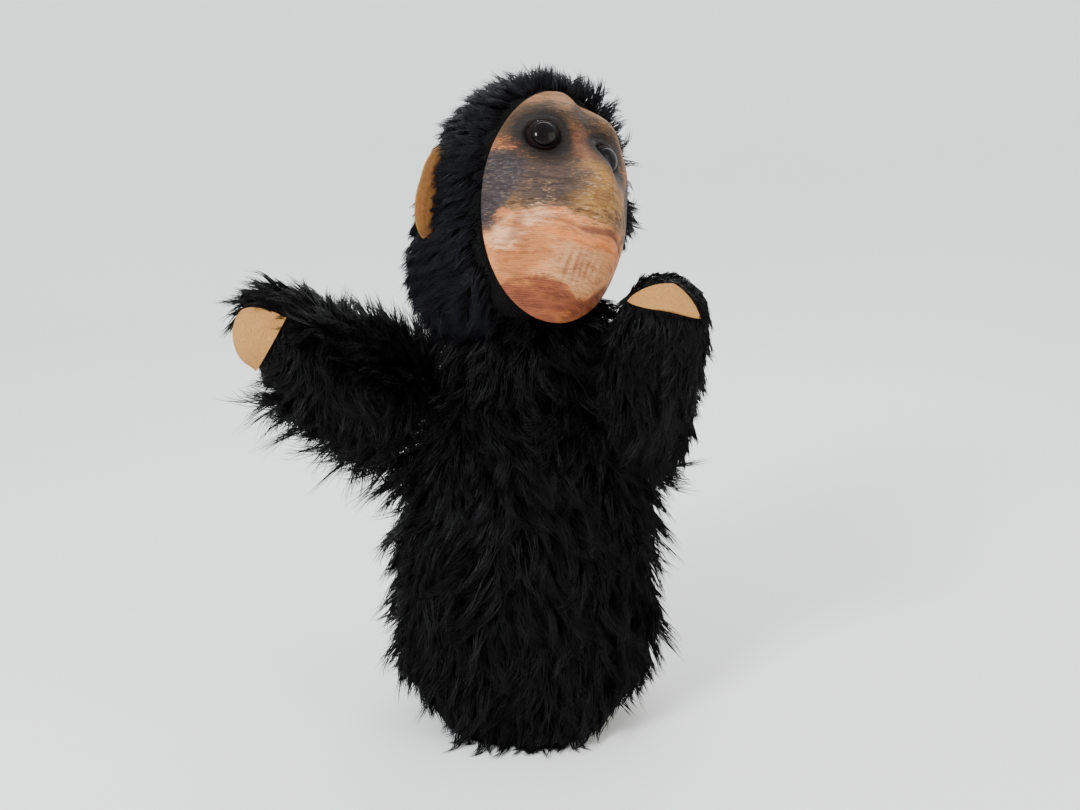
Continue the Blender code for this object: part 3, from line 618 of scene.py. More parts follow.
def glove_hair(skin, material):
    """Long curly hair that hangs down the body; at the sides and the hem more of it stands away."""
    rng = np.random.default_rng(11)
    root, normal = surface_samples(skin, BODY_LOCKS, rng)
    from_arm = {s: np.linalg.norm(root - np.array(SHOULDER[s]), axis=1) for s in SIDES}
    keep = faces_out(root, normal, np.array((NECK.x, NECK.y, 0.0))) & (np.abs(normal[:, 2]) < 0.9)
    for away in from_arm.values():
        keep &= away > HOLE_RADIUS + 0.001
    root, normal, from_arm = root[keep], normal[keep], from_arm["right"][keep]
    sideways = np.abs(normal[:, 0])
    comb = combed(normal, DOWN + 0.95 * flow_noise(root, 36.0, 1))
    high = smooth(0.10, 0.165, root[:, 2])
    low = smooth(0.034, 0.004, root[:, 2] - hem_rise(root[:, 2], normal[:, 0]))
    under_arm = smooth(SHOULDER["right"].z, SHOULDER["right"].z - 0.010, root[:, 2])
    pit = smooth(0.042, 0.026, from_arm) * under_arm
    corner = smooth(0.25, 0.60, sideways)
    length = BODY_LENGTH - 0.004 * high - low * (0.0065 + 0.0085 * corner) + 0.007 * pit
    length = length * (0.70 + 0.6 * rng.random(len(root)))
    stray = rng.random(len(root)) < 0.10 + 0.14 * sideways ** 3
    lift = some_lift(rng, len(root), 0.40, 0.16, 0.15, 1.0) + 0.55 * stray + 0.6 * pit
    hair("glove_hair", root, normal, comb, "glove", material, length, lift, droop=0.12, curl=1.0, strands=10,
         spread=0.0030, clump=0.95, seed=12)


def on_palm(side, local):
    """Whether places in an arm's axes lie under its felt palm."""
    angle = np.degrees(np.arctan2(local[:, 1], local[:, 0])) % 360.0
    start, stop = PALM[side][2:]
    past_seam = local[:, 2] > palm_seam(side, np.radians(angle)) - 0.001
    return (angle > start - 6.0) & (angle < stop + 6.0) & past_seam


def palm_seam(side, angle):
    seam, nearer = PALM[side][:2]
    return seam + nearer * np.maximum(-np.sin(angle), 0.0)


def arm_hair(side, material):
    """Hair on the sleeve, long below and lying along the limb on top; none grows under the felt palm."""
    right = side == "right"
    rng = np.random.default_rng(22 if right else 21)
    outline = np.array(arm_profile(0.0))
    steps = np.linalg.norm(np.diff(outline, axis=0), axis=1)
    weight = steps * (outline[:-1, 0] + outline[1:, 0])
    chosen = rng.choice(len(steps), ARM_LOCKS, p=weight / weight.sum())
    share = rng.random(ARM_LOCKS)[:, None]
    spot = outline[chosen] * (1.0 - share) + outline[chosen + 1] * share
    slope = (outline[chosen + 1] - outline[chosen]) / steps[chosen][:, None]
    angle = rng.random(ARM_LOCKS) * math.tau
    root = np.stack([spot[:, 0] * np.cos(angle), spot[:, 0] * np.sin(angle), spot[:, 1]], -1)
    normal = np.stack([slope[:, 1] * np.cos(angle), slope[:, 1] * np.sin(angle), -slope[:, 0]], -1)
    keep = ~on_palm(side, root)
    root, normal = root[keep], normal[keep]
    hand = smooth(0.034, 0.058, root[:, 2])
    near = smooth(0.040, 0.010, root[:, 2])
    turn = np.array(ARM[side])[:3, :3]
    root = arm_placed(side, root)
    normal = unit(normal @ turn.T)
    above = smooth(0.1, 0.8, normal[:, 2])
    below = smooth(0.0, 0.8, -normal[:, 2])
    along = ((0.9 * above + 0.75 * below) * (1.0 if right else 0.35))[:, None]
    lean = 0.60 * flow_noise(root, 40.0, 2)
    comb = combed(normal, (1.0 - 0.8 * above)[:, None] * DOWN + along * turn[:, 2] + lean)
    length = ARM_HAIR_LENGTH * (0.7 + 0.55 * rng.random(len(root))) * (1.0 + 0.45 * below * (1.0 - hand))
    stray = rng.random(len(root)) < 0.16
    lift = some_lift(rng, len(root), 0.45, 0.16, 0.2, 1.0) + 0.45 * stray
    if right:
        length *= (1.0 - 0.84 * hand * (1.0 - above)) * (1.0 + above * (0.25 * near - 0.05 * hand))
        length *= 1.0 + 0.25 * below * stray * (1.0 - hand)
        lift = lift + above * (0.45 * near - 0.15 * hand) + 0.15 * below * near
    else:
        outer = smooth(0.1, 0.8, normal[:, 0])
        length *= (1.0 - 0.25 * outer) * (1.0 - 0.64 * above) * (1.0 - 0.35 * hand)
        lift = lift * (1.0 - 0.30 * outer)
    lift = lift * (1.0 - 0.35 * hand)
    hair(f"{side}_arm_hair", root, normal, comb, f"{side}_arm", material, length, lift, droop=0.15, curl=0.9,
         strands=9, clump=0.94, seed=24 if right else 23)


def neck_hair(skin, material):
    """Hair of the gathered neck, between the body's and the hood's."""
    rng = np.random.default_rng(31)
    root, normal = surface_samples(skin, NECK_LOCKS, rng)
    out = faces_out(root, normal, np.array(NECK))
    root, normal = root[out], normal[out]
    comb = combed(normal, DOWN + 0.6 * flow_noise(root, 40.0, 3))
    length = NECK_LENGTH * (0.75 + 0.5 * rng.random(len(root)))
    lift = some_lift(rng, len(root), 0.62, 0.2, 0.2)
    hair("neck_hair", root, normal, comb, "neck", material, length, lift, curl=0.8, strands=9, seed=32)


def hood_hair(skin, material):
    """Shorter, denser pile that runs back from the face and down, and grows longer below the ears."""
    rng = np.random.default_rng(41)
    root, normal = surface_samples(skin, HOOD_LOCKS, rng)
    local = placed(HEAD.inverted(), root)
    share = face_share(local[:, 0], local[:, 2])
    keep = ~((local[:, 1] < 0.0) & (share < 1.01))
    root, normal, local, share = root[keep], normal[keep], local[keep], share[keep]
    x, y, z = local.T
    near = (y < 0.0) * smooth(1.45, 1.05, share)
    turn = np.array(HEAD)[:3, :3]
    away = unit(local * (1.0, 0.0, 1.0)) @ turn.T
    by_ear = smooth(0.016, 0.006, np.hypot(y - EAR_ROOT[1], z * 0.5))
    fringe = (near * (0.40 + 0.45 * smooth(-0.012, 0.0, x)))[:, None]
    lean = 0.5 * flow_noise(root, 55.0, 4)
    comb = combed(normal, (1.0 - fringe) * DOWN + 0.6 * turn[:, 1] + fringe * away + lean)
    low = smooth(-0.010, -0.045, z)
    crown = smooth(0.016, 0.044, z)
    tuft = smooth(-0.020, -0.008, z) * smooth(0.006, 0.020, x) * smooth(0.016, 0.0, y)
    far_low = smooth(0.001, -0.010, z) * smooth(0.012, 0.026, x)
    length = HOOD_LENGTH + 0.0070 * low + 0.0020 * crown + 0.0050 * tuft - 0.0065 * far_low
    length = length * (0.8 + 0.4 * rng.random(len(root))) * (1.0 - 0.45 * by_ear * (x < 0.0))
    lift = some_lift(rng, len(root), 0.50, 0.16, 0.2) * (1.0 - 0.3 * near - 0.3 * by_ear)
    lift += (0.18 * low + 0.42 * crown + 0.50 * tuft) * (1.0 - far_low)
    hair("hood_hair", root, normal, comb, "head", material, length, lift, curl=0.6, strands=11, spread=0.0025,
         clump=0.80, radius=0.00023, seed=42, knots=5)


# ---------------------------------------------------------------- face
def face_edge(angle):
    """The face's edge: an egg with its wide end at the muzzle and a cleft between the brows."""
    x, z = np.cos(angle), np.sin(angle)
    high = z > 0.0
    far = smooth(0.0, 0.5, x) * high
    near_trim = 0.968 - 0.006 * smooth(-0.4, 0.2, z)
    far_trim = 1.0 - 0.05 * smooth(-0.1, -0.6, z)
    half_width = FACE_HALF_WIDTH * (1.0 - (FACE_EGG + 0.04) * z + 0.26 * far * z)
    half_width = half_width * np.where(x < 0.0, near_trim, far_trim)
    half_height = np.where(high, FACE_TOP + 0.0014 - 0.0010 * smooth(0.02, 0.25, x), -FACE_BOTTOM)
    cleft = 1.0 - 0.038 * np.exp(-((x - 0.24) / 0.09) ** 2) * high
    return np.stack([x * half_width * cleft, z * half_height * cleft], -1)


def face_share(x, z):
    """A place's distance out from the face's centre, from 0 to 1 at its edge."""
    edge = face_edge(np.arctan2(z / FACE_TOP, x / FACE_HALF_WIDTH))
    return np.hypot(x, z) / np.maximum(np.linalg.norm(edge, axis=-1), 1e-6)


def face_base(x, z, share):
    roll_off = 1.0 - share ** 4
    muzzle = bump(x, z, (0.0, MUZZLE_CENTRE_Z), MUZZLE_SPREAD) * (MUZZLE_DEPTH - BROW_DEPTH)
    return FACE_RIM_Y - BROW_DEPTH * roll_off - muzzle * roll_off


RELIEF = (  # height, centre x and z, spread x and z
    (0.0040, (-0.0150, 0.0300), (0.0120, 0.0080)),      # brows, with the cleft between them
    (0.0072, (0.0195, 0.0325), (0.0120, 0.0080)),
    (-0.0022, (0.0070, 0.0330), (0.0045, 0.0100)),
    (0.0050, (0.0010, 0.0040), (0.0085, 0.0150)),       # bridge and nose
    (0.0060, (0.0060, -0.0020), (0.0140, 0.0120)),
    (0.0030, (0.0050, 0.0075), (0.0050, 0.0080)),
    (-0.0045, (0.0300, -0.0030), (0.0070, 0.0090)),     # the left cheek falls away
)


def face_relief(x, z, share):
    """Height added to the plain face: brows, sockets, lids, nose, lips and creases at the mouth's ends."""
    rise = sum(height * bump(x, z, centre, spread) for height, centre, spread in RELIEF)
    for ex, ez in EYE_SPOT.values():
        away = np.hypot(x - ex, z - ez)
        rise -= 0.0050 * np.exp(-(away / 0.0105) ** 2)
        up = smooth(-0.7, 0.8, (z - ez) / np.maximum(away, 1e-5))
        rise += 0.0024 * np.exp(-((away - 0.0082) / 0.0017) ** 2) * (0.35 + 0.65 * up)
    lip = mouth_height(x)
    closed = (0.35 + 0.65 * smooth(-0.016, 0.004, x)) * smooth(0.0285, 0.0200, np.abs(x))
    rise -= 0.0014 * np.exp(-((z - lip) / 0.0016) ** 2) * closed
    rise += 0.0013 * np.exp(-((z - lip + 0.0055) / 0.0036) ** 2) * closed
    for sign in SIDES.values():
        corner = sign * 0.0247 + (z + 0.024) * 0.2 * -sign
        rise -= 0.0011 * np.exp(-((x - corner) / 0.0016) ** 2) * bump(0.0, z, (0.0, -0.0240), (1.0, 0.0065))
    return rise * (1.0 - share ** 6)


def mouth_height(x):
    return -0.0205 - 0.0022 * np.cos(x / 0.0075) * np.exp(-(x / 0.020) ** 2) - 4.0 * np.maximum(x, 0.0) ** 2


FOLDS = (  # centre x, z, direction in degrees, length, width, depth
    (-0.0029, -0.0358, 95.0, 0.0100, 0.0010, 0.00060), (0.0010, -0.0356, 101.0, 0.0100, 0.0010, 0.00060),
    (0.0040, -0.0368, 103.0, 0.0085, 0.0009, 0.00050), (0.0068, -0.0362, 98.0, 0.0080, 0.0010, 0.00055),
    (0.0100, -0.0352, 96.0, 0.0070, 0.0010, 0.00040), (-0.0066, -0.0340, 92.0, 0.0070, 0.0010, 0.00035),
    (0.0140, -0.0330, 94.0, 0.0065, 0.0010, 0.00035), (-0.0205, -0.0310, 105.0, 0.0080, 0.0013, 0.00045),
)


def fold_mask(x, z, wide=1.0):
    """How deep the cloth's small folds are at a place, in metres."""
    total = np.zeros_like(x)
    for cx, cz, turn, length, width, depth in FOLDS:
        c, s = math.cos(math.radians(turn)), math.sin(math.radians(turn))
        along = (x - cx) * c + (z - cz) * s
        across = -(x - cx) * s + (z - cz) * c + 12.0 * along ** 2
        total += depth * np.exp(-(along / length * 1.6) ** 2 - (across / (width * wide)) ** 2)
    return total


FACE_SPOKES = 96
FACE_ROWS = 40


def face_grid():
    """Places and shares of the face's rings, its centre left out."""
    share = np.sin(np.linspace(0.0, math.pi / 2, FACE_ROWS + 1)[1:])
    angles = np.arange(FACE_SPOKES) / FACE_SPOKES * math.tau
    flat = face_edge(angles)[None] * share[:, None, None]
    return flat[..., 0].ravel(), flat[..., 1].ravel(), np.repeat(share, FACE_SPOKES)


def padded_by_cloth(piece, pinned, cap, frames=20):
    """Blow a closed cloth form up a little, holding its pinned points, and cap how far a point moves."""
    before = read(piece.data.vertices, "co").astype(float)
    group = piece.vertex_groups.new(name="pinned")
    group.add([int(i) for i in np.flatnonzero(pinned)], 1.0, "REPLACE")
    cloth = piece.modifiers.new("pad", "CLOTH")
    cloth.settings.use_pressure = True
    cloth.settings.uniform_pressure_force = 4.0
    cloth.settings.effector_weights.gravity = 0.0
    cloth.settings.vertex_group_mass = "pinned"
    cloth.settings.quality = 6
    scene = bpy.context.scene
    for span in (cloth.point_cache, scene):
        span.frame_start, span.frame_end = 1, frames
    for number in range(1, frames + 1):
        scene.frame_set(number)
    bake_modifiers(piece)
    moved = read(piece.data.vertices, "co").astype(float) - before
    moved *= np.minimum(1.0, cap / np.maximum(np.linalg.norm(moved, axis=1, keepdims=True), 1e-9))
    move_points(piece.data, before + moved)
    scene.frame_set(1)


def make_face(material):
    """The face as a stuffed pad: its front cloth and a back that lies against the head's stuffing."""
    x, z, share = face_grid()
    nose = (0.0, float(face_base(0.0, 0.0, 0.0)), 0.0)
    front = np.concatenate([[nose], np.stack([x, face_base(x, z, share), z], -1)])
    rim = front[-FACE_SPOKES:]
    backs = [rim * (k, 1.0, k) + (0.0, d, 0.0) for k, d in ((0.965, 0.0035), (0.90, 0.0052), (0.45, 0.0058))]
    points = np.concatenate([front, *backs, [(0.0, FACE_RIM_Y + 0.0060, 0.0)]])
    rows = FACE_ROWS + len(backs)
    spoke = np.arange(FACE_SPOKES)
    after = (spoke + 1) % FACE_SPOKES
    base = 1 + (rows - 1) * FACE_SPOKES
    first = np.stack([1 + spoke, 1 + after, np.zeros(FACE_SPOKES, int)], -1)
    last = np.stack([base + after, base + spoke, np.full(FACE_SPOKES, len(points) - 1)], -1)
    quads = ring_faces(rows, FACE_SPOKES)[:, ::-1] + 1
    face = mesh_of("face_pad", points, [quads, first, last], material)
    spread = np.concatenate([[0.0], share, np.ones(len(points) - 1 - len(share))])
    pinned = spread > 0.97
    for ex, ez in EYE_SPOT.values():
        pinned |= (np.hypot(points[:, 0] - ex, points[:, 2] - ez) < EYE_SEAT) & (spread < 1.0)
    padded_by_cloth(face, pinned, FACE_SWELL)
    fine = face.modifiers.new("fine", "SUBSURF")
    fine.levels = fine.render_levels = 2
    bake_modifiers(face)
    co = read(face.data.vertices, "co").astype(float)
    fx, fz = co[:, 0], co[:, 2]
    out = np.minimum(face_share(fx, fz), 1.0)
    in_front = smooth(FACE_RIM_Y, FACE_RIM_Y - 0.003, co[:, 1])
    relief = (face_relief(fx, fz, out) - fold_mask(fx, fz)) * in_front
    co[:, 1] -= relief + wobble(co, 0.00025, 160.0, 3) * in_front
    place = face.data.attributes.new("face_place", "FLOAT_VECTOR", "POINT")
    place.data.foreach_set("vector", co.astype(np.float32).ravel())
    paint_masks(face.data, fx, fz)
    move_points(face.data, placed(HEAD, co))
    return face


SPOTS = {  # round printed regions: radius, centre x and z, and how much narrower and lower than a circle
    "taupe": (0.0115, -0.0170, -0.0035, 0.85, 0.95),
    "cleft": (0.0068, 0.0040, 0.0280, 1.0, 0.75),
    "bridge": (0.0068, 0.0002, 0.0155, 1.0, 0.8),
    "golden": (0.0125, 0.0040, -0.0045, 0.8, 0.95),
    "pale": (0.0112, 0.0040, -0.0350, 0.85, 1.0),
    "orange": (0.0066, -0.0205, -0.0340, 1.0, 0.6),
}


def paint_masks(mesh, x, z):
    """How far inside each region of print or painted shade a point lies, and how deep the cloth's folds are,
    in millimetres; the shader frays the edges.
    """
    side = np.abs(x)
    eyes = np.min([np.hypot(x - ex, (z - ez - 0.0010) * 0.95) for ex, ez in EYE_SPOT.values()], 0)
    over_lip = z - mouth_height(x)
    ends = smooth(0.004, -0.007, x)
    border = np.interp(x, (-0.0360, -0.0300, -0.0225, -0.0170, -0.0125, -0.0065, 0.0030, 0.0350),
                       (-0.0260, -0.0162, -0.0178, -0.0138, -0.0160, -0.0182, -0.0196, -0.0198))
    right_cheek = np.interp(z, (-0.0225, -0.0145, -0.0070, 0.0000, 0.0060, 0.0110),
                            (-0.0315, -0.0286, -0.0268, -0.0235, -0.0230, -0.0280))
    left_cheek = np.interp(z, (-0.024, -0.016, -0.008, 0.000, 0.008),
                           (0.0325, 0.0300, 0.0285, 0.0275, 0.0285))
    chin_edge = np.interp(x, (-0.0240, -0.0208, -0.0136, -0.0070, 0.0000, 0.0068, 0.0145, 0.0230),
                          (-0.0455, -0.0422, -0.0406, -0.0412, -0.0427, -0.0457, -0.0442, -0.0370))
    fields = {
        "upper": z - border,
        "cheek": np.min([np.maximum(right_cheek - x, x - left_cheek), 0.0108 - z, z + 0.0240], 0),
        "eyes": 0.0150 - eyes,
        "lids": 0.0108 - eyes,
        "brow": np.maximum(z - 0.0350 + 3.0 * x ** 2, np.minimum(side - 0.0235, z - 0.0060)),
        "streak": np.minimum(0.0060 - np.abs(side - 0.0266), 0.0022 - np.abs(z - 0.0128)),
        # The mouth's line: print, and partly a painted shadow under the upper lip
        "line": 0.0014 - np.abs(over_lip) - 0.10 * np.maximum(side - 0.018, 0.0) - 0.0011 * ends,
        "band": 0.0026 - np.abs(over_lip + 0.0046) - 0.35 * np.maximum(side - 0.016, 0.0) - 0.0014 * ends,
        "pink": np.maximum(0.0042 - np.hypot(x + 0.0264, z + 0.0268),
                           0.0030 - np.hypot((x + 0.0200) * 0.6, z + 0.0200)),
        # Strips over the creases at the mouth's ends, for painted shade
        "corner": np.minimum(0.0014 - np.abs(side - 0.0244), 0.0052 - np.abs(z + 0.0232)),
        "chin": chin_edge - z,
        # Depth of the cloth's folds, for painted shade in their creases
        "folds": fold_mask(x, z, 1.3),
    }
    for key, (radius, cx, cz, wide, tall) in SPOTS.items():
        fields[key] = radius - np.hypot((x - cx) * wide, (z - cz) * tall)
    for key, values in fields.items():
        mask = mesh.attributes.new(f"print_{key}", "FLOAT", "POINT")
        mask.data.foreach_set("value", (values * 1000.0).astype(np.float32))


def face_material():
    """Printed stretch knit: regions of colour, broken into fine level streaks where the print has worn, with
    painted shade in its folds and creases.
    """
    g = Graph("face_print", 0.62, Specular_IOR_Level=0.16)
    place = g.place((1.0, 1.0, 1.0), "face_place")
    level = g.place((1.0, 1.0, 5.5), "face_place")
    streaks = g.noise(level, 125.0, 4.0, 0.66)
    fine = g.noise(g.place((1.0, 1.0, 4.2), "face_place"), 430.0, 3.0, 0.70)
    broad = g.noise(g.place((1.0, 1.0, 2.6), "face_place"), 75.0, 3.0, 0.6)
    cloud = g.noise(place, 85.0, 3.0, 0.6)
    rough = g.maths("MULTIPLY", g.maths("SUBTRACT", streaks, 0.5), 18.0)
    for part, reach in ((cloud, 12.0), (fine, 9.0)):
        rough = g.maths("ADD", rough, g.maths("MULTIPLY", g.maths("SUBTRACT", part, 0.5), reach))

    def mask(name, soft, worn, most=1.0):
        """A region's share: its depth in millimetres, frayed by the streaks, over a soft edge."""
        depth = g.maths("ADD", g.attribute(f"print_{name}"), g.maths("MULTIPLY", rough, worn))
        return g.ramp(depth, -soft, soft, 0.0, most)

    bare = g.ramp(fine, 0.49, 0.68)
    peach = g.mix(g.ramp(broad, 0.36, 0.64), PEACH, APRICOT)
    tan = g.mix(g.ramp(broad, 0.38, 0.62), BRONZE, TAN)
    tan = g.mix(g.ramp(streaks, 0.54, 0.40, 0.0, 0.75), tan, UMBER)
    tan = g.mix(g.ramp(fine, 0.50, 0.72, 0.0, 0.75), tan, LIGHT_TAN)
    taupe = g.mix(g.maths("MULTIPLY", bare, g.ramp(cloud, 0.40, 0.60, 0.0, 0.85)), TAUPE, LIGHT_TAN)
    pale_slate = g.mix(g.ramp(streaks, 0.52, 0.70, 0.0, 0.6), PALE_SLATE, TAN)
    broken_streak = g.maths("MULTIPLY", mask("streak", 1.0, 0.4, 0.85), g.ramp(fine, 0.50, 0.60))
    colour = g.mix(g.ramp(fine, 0.52, 0.68, 0.0, 0.7), peach, PALE_PINK)
    for share, paint in (
        (mask("orange", 3.0, 0.5, 0.85), ORANGE_TAN),
        (mask("pale", 4.0, 0.4, 0.75), BEIGE),
        (mask("upper", 0.7, 0.6), tan),
        (mask("golden", 4.0, 0.5, 0.8), g.mix(bare, GOLD, LIGHT_TAN)),
        (mask("taupe", 2.5, 0.9, 0.9), taupe),
        (mask("brow", 1.6, 0.5, 0.9), g.mix(g.ramp(fine, 0.50, 0.78), BROW, LIGHT_TAN)),
        (mask("cheek", 1.4, 0.75, 0.96), g.mix(g.ramp(fine, 0.46, 0.66), SLATE, pale_slate)),
        (mask("eyes", 3.6, 0.35, 0.9), g.mix(g.ramp(fine, 0.50, 0.72), SOCKET, BRONZE)),
        (mask("cleft", 2.0, 0.3, 0.85), g.mix(bare, SOCKET, BRONZE)),
        (mask("bridge", 3.0, 0.6, 0.45), g.mix(bare, RUST, TAN)),
        (broken_streak, g.mix(g.ramp(streaks, 0.45, 0.55), RUST, ORANGE)),
        (mask("lids", 1.6, 0.10, 0.97), g.mix(fine, LID, SOCKET)),
        (mask("pink", 1.5, 0.5, 0.85), PALE_PINK),
        (mask("chin", 1.0, 0.35, 0.92), g.mix(g.ramp(broad, 0.46, 0.78), RED_BROWN, ORANGE_TAN)),
        (mask("band", 1.4, 0.20, 0.75), g.mix(bare, ORANGE, APRICOT)),
        # The mouth's line: print, and partly a painted shadow under the upper lip
        (mask("line", 0.9, 0.10, 0.75), MOUTH),
        # Rust in the creases at the mouth's ends: painted shade
        (mask("corner", 1.2, 0.12, 0.55), RUST),
        # Rust in the folds' creases: painted shade
        (g.ramp(g.attribute("print_folds"), 0.1, 0.6, 0.0, 0.45), RUST),
    ):
        colour = g.mix(share, colour, paint)
    worn = g.mix(1.0, colour, WORN_SHADE, "MULTIPLY")
    colour = g.mix(g.ramp(streaks, 0.56, 0.38, 0.0, 0.65), colour, worn)
    knit = g.node("TexWave", {"bands_direction": "Z"}, Vector=place, Scale=420.0, Distortion=2.0, Detail=2.0)
    height = g.maths("ADD", g.maths("MULTIPLY", knit.outputs["Fac"], 0.35), fine)
    g.bump(g.maths("ADD", height, streaks), 0.00045)
    return g.colour(colour)


# ---------------------------------------------------------------- eyes, ears, palms
def stand_for(piece, body, slot, *nodes):
    """A finished piece replaces CAD nodes and rides on a body; slot is not used."""
    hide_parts(*nodes)
    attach(piece, body)


def lathe(name, profile, matrix, material, steps=64, sharp=35.0):
    """A turned piece about a matrix's Z; the profile's ends lie on the axis."""
    rings = circles(profile[1:-1], steps)
    ends = np.array([(0.0, 0.0, profile[0][1]), (0.0, 0.0, profile[-1][1])])
    points = placed(matrix, np.concatenate([rings, ends]))
    s = np.arange(steps)
    t = (s + 1) % steps
    last = len(rings) - steps
    low = np.stack([np.full(steps, len(rings)), t, s], -1)
    high = np.stack([np.full(steps, len(rings) + 1), last + s, last + t], -1)
    return mesh_of(name, points, [ring_faces(len(profile) - 2, steps), low, high], material, sharp)


def eye_matrix(side):
    x, z = EYE_SPOT[side]
    share = math.hypot(x / FACE_HALF_WIDTH, z / FACE_TOP)
    seat = Vector((x, float(face_base(x, z, share)) + EYE_SINK, z))
    outwards = Matrix.Rotation(math.radians(EYE_OUTWARDS[side]), 4, "Z")
    return HEAD @ Matrix.Translation(seat) @ outwards @ Matrix.Rotation(math.radians(90.0), 4, "X")


def make_eyes():
    """Two-part safety eyes: a reddish brown rim round a black dome, under one polished curve."""
    iris = plastic_material("iris_plastic", (0.0055, 0.0028, 0.0030), 0.42, gloss=0.05)
    pupil = plastic_material("pupil_plastic", (0.0018, 0.0010, 0.0010), 0.09, gloss=0.12)
    shank, shank_foot, flange, rise, dome_rise = 0.0020, -0.0060, 0.0009, 0.0052, 0.0021
    rim = [(0.0, shank_foot), (shank, shank_foot), (shank, 0.0), (EYE_RADIUS, 0.0)]
    rim += [(EYE_RADIUS * math.cos(a), flange + rise * math.sin(a)) for a in np.linspace(0.0, 0.66, 12)]
    radius, height = rim[-1]
    rim += [(radius - 0.0002, height - 0.0002), (0.0, height - 0.0002)]
    seat = radius - 0.0003
    dome = [(0.0, height - 0.0001), (seat, height - 0.0001)]
    turns = np.linspace(0.05, math.pi / 2 - 0.06, 16)
    dome += [(seat * math.cos(a), height + dome_rise * math.sin(a)) for a in turns]
    dome.append((0.0, height + dome_rise))
    for side in SIDES:
        matrix = eye_matrix(side)
        stand_for(lathe(f"{side}_eye_rim", rim, matrix, iris), "head", "iris", f"{side}_eye")
        stand_for(lathe(f"{side}_eye_dome", dome, matrix, pupil), "head", "pupil", f"{side}_pupil")


def slab(name, sheets, rows, columns, material):
    """A closed solid between two grids of points."""
    count = rows * columns
    r = np.arange(rows - 1)[:, None]
    c = np.arange(columns - 1)[None]
    corner = r * columns + c
    one = np.stack([corner, corner + 1, corner + columns + 1, corner + columns], -1).reshape(-1, 4)
    far_row = np.arange(count - 1, count - columns - 1, -1)
    border = np.concatenate([np.arange(columns), np.arange(2, rows) * columns - 1, far_row,
                             np.arange(rows - 2, 0, -1) * columns])
    after = np.roll(border, -1)
    wall = np.stack([border, border + count, after + count, after], -1)
    made = mesh_of(name, np.concatenate(sheets), [one, one[:, ::-1] + count, wall], material)
    shell = bmesh.new()
    shell.from_mesh(made.data)
    bmesh.ops.recalc_face_normals(shell, faces=shell.faces)
    shell.to_mesh(made.data)
    shell.free()
    made.data.set_sharp_from_angle(angle=math.radians(50.0))
    return made


def make_ear(side, outer_felt, shaded_inner_felt):
    """Two layers of felt, sewn round their edge and curled forwards."""
    sign = SIDES[side]
    sweep = math.radians(EAR_SWEEP[side])
    out = np.array((sign * math.cos(sweep), -math.sin(sweep), 0.0))
    normal = np.array((sign * math.sin(sweep), math.cos(sweep), 0.0))
    root = EAR_ROOT * (sign, 1.0, 1.0)
    rows, columns = 41, 29
    w, q = np.meshgrid(np.linspace(-1.0, 1.0, rows), np.linspace(0.0, 1.0, columns), indexing="ij")
    outline = np.sqrt(np.maximum(1.0 - np.abs(w * 0.985) ** 2.6, 0.0))
    high = w * EAR_HALF_HEIGHT * (1.0 - 0.06 * q)
    reach = -EAR_SUNK + (EAR_REACH + EAR_SUNK) * outline * q ** 0.9 - EAR_LEAN[side] * high
    edge = np.minimum(smooth(0.0, 0.14, 1.0 - q), smooth(0.0, 0.10, 1.0 - np.abs(w)))
    cup = 0.0030 * (q ** 2) - 0.0022 * np.sin(q * math.pi) * (1.0 - w ** 2)
    seam = 0.00035 * np.exp(-((1.0 - q) / 0.11 - 1.6) ** 2 * 3.0)
    gap = 0.00015
    thickness = (FELT - 0.0002) * (0.35 + 0.65 * edge)
    # The front layer's darker felt is painted shade
    layers = (("back", "outer", outer_felt, 1.0), ("front", "inner", shaded_inner_felt, -1.0))
    for layer, name, felt, direction in layers:
        sheets = []
        for depth in (cup + direction * gap, cup + direction * (gap + thickness - seam)):
            lumps = wobble(np.stack([reach, high, depth], -1).reshape(-1, 3), 0.00020, 300.0, 5)
            depth = depth - 0.5 * lumps.reshape(depth.shape)
            spot = root + reach[..., None] * out + depth[..., None] * normal + high[..., None] * UP
            sheets.append(placed(HEAD, spot.reshape(-1, 3)))
        made = slab(f"{side}_ear_{name}", sheets, rows, columns, felt)
        stand_for(made, "head", f"ear_{name}", f"{side}_ear_{layer}")


def make_palm(side, felt):
    """The felt patch over the tip of the arm, with its seam across the arm and a fuller middle."""
    rows, columns = 40, 56
    angles = np.radians(np.linspace(PALM[side][2], PALM[side][3], columns))
    line = np.array(arm_profile(0.0))
    run = np.concatenate([[0.0], np.cumsum(np.linalg.norm(np.diff(line, axis=0), axis=1))])
    start = np.interp(palm_seam(side, angles), line[:, 1], run)
    share = np.linspace(0.0, 1.0, rows)[:, None]
    along = start + (run[-1] - start) * share
    radius, distance = np.interp(along, run, line[:, 0]), np.interp(along, run, line[:, 1])
    cap = smooth(ARM_RINGS[-1, 0], ARM_LENGTH, distance)
    fuller = 0.0010 * np.sin(share * math.pi) * np.sin(np.linspace(0.0, math.pi, columns))
    sheets = []
    for height in (FELT, 0.0001):
        grow = height + fuller
        r = radius + grow * (1.0 - cap)
        spot = np.stack([r * np.cos(angles), r * np.sin(angles), distance + grow * cap], -1).reshape(-1, 3)
        sheets.append(arm_placed(side, spot * (1.0 + wobble(spot, 0.010, 260.0, 7)[:, None] * LEVEL)))
    made = slab(f"{side}_palm_felt", sheets, rows, columns, felt)
    stand_for(made, f"{side}_arm", "palm_felt", f"{side}_palm")


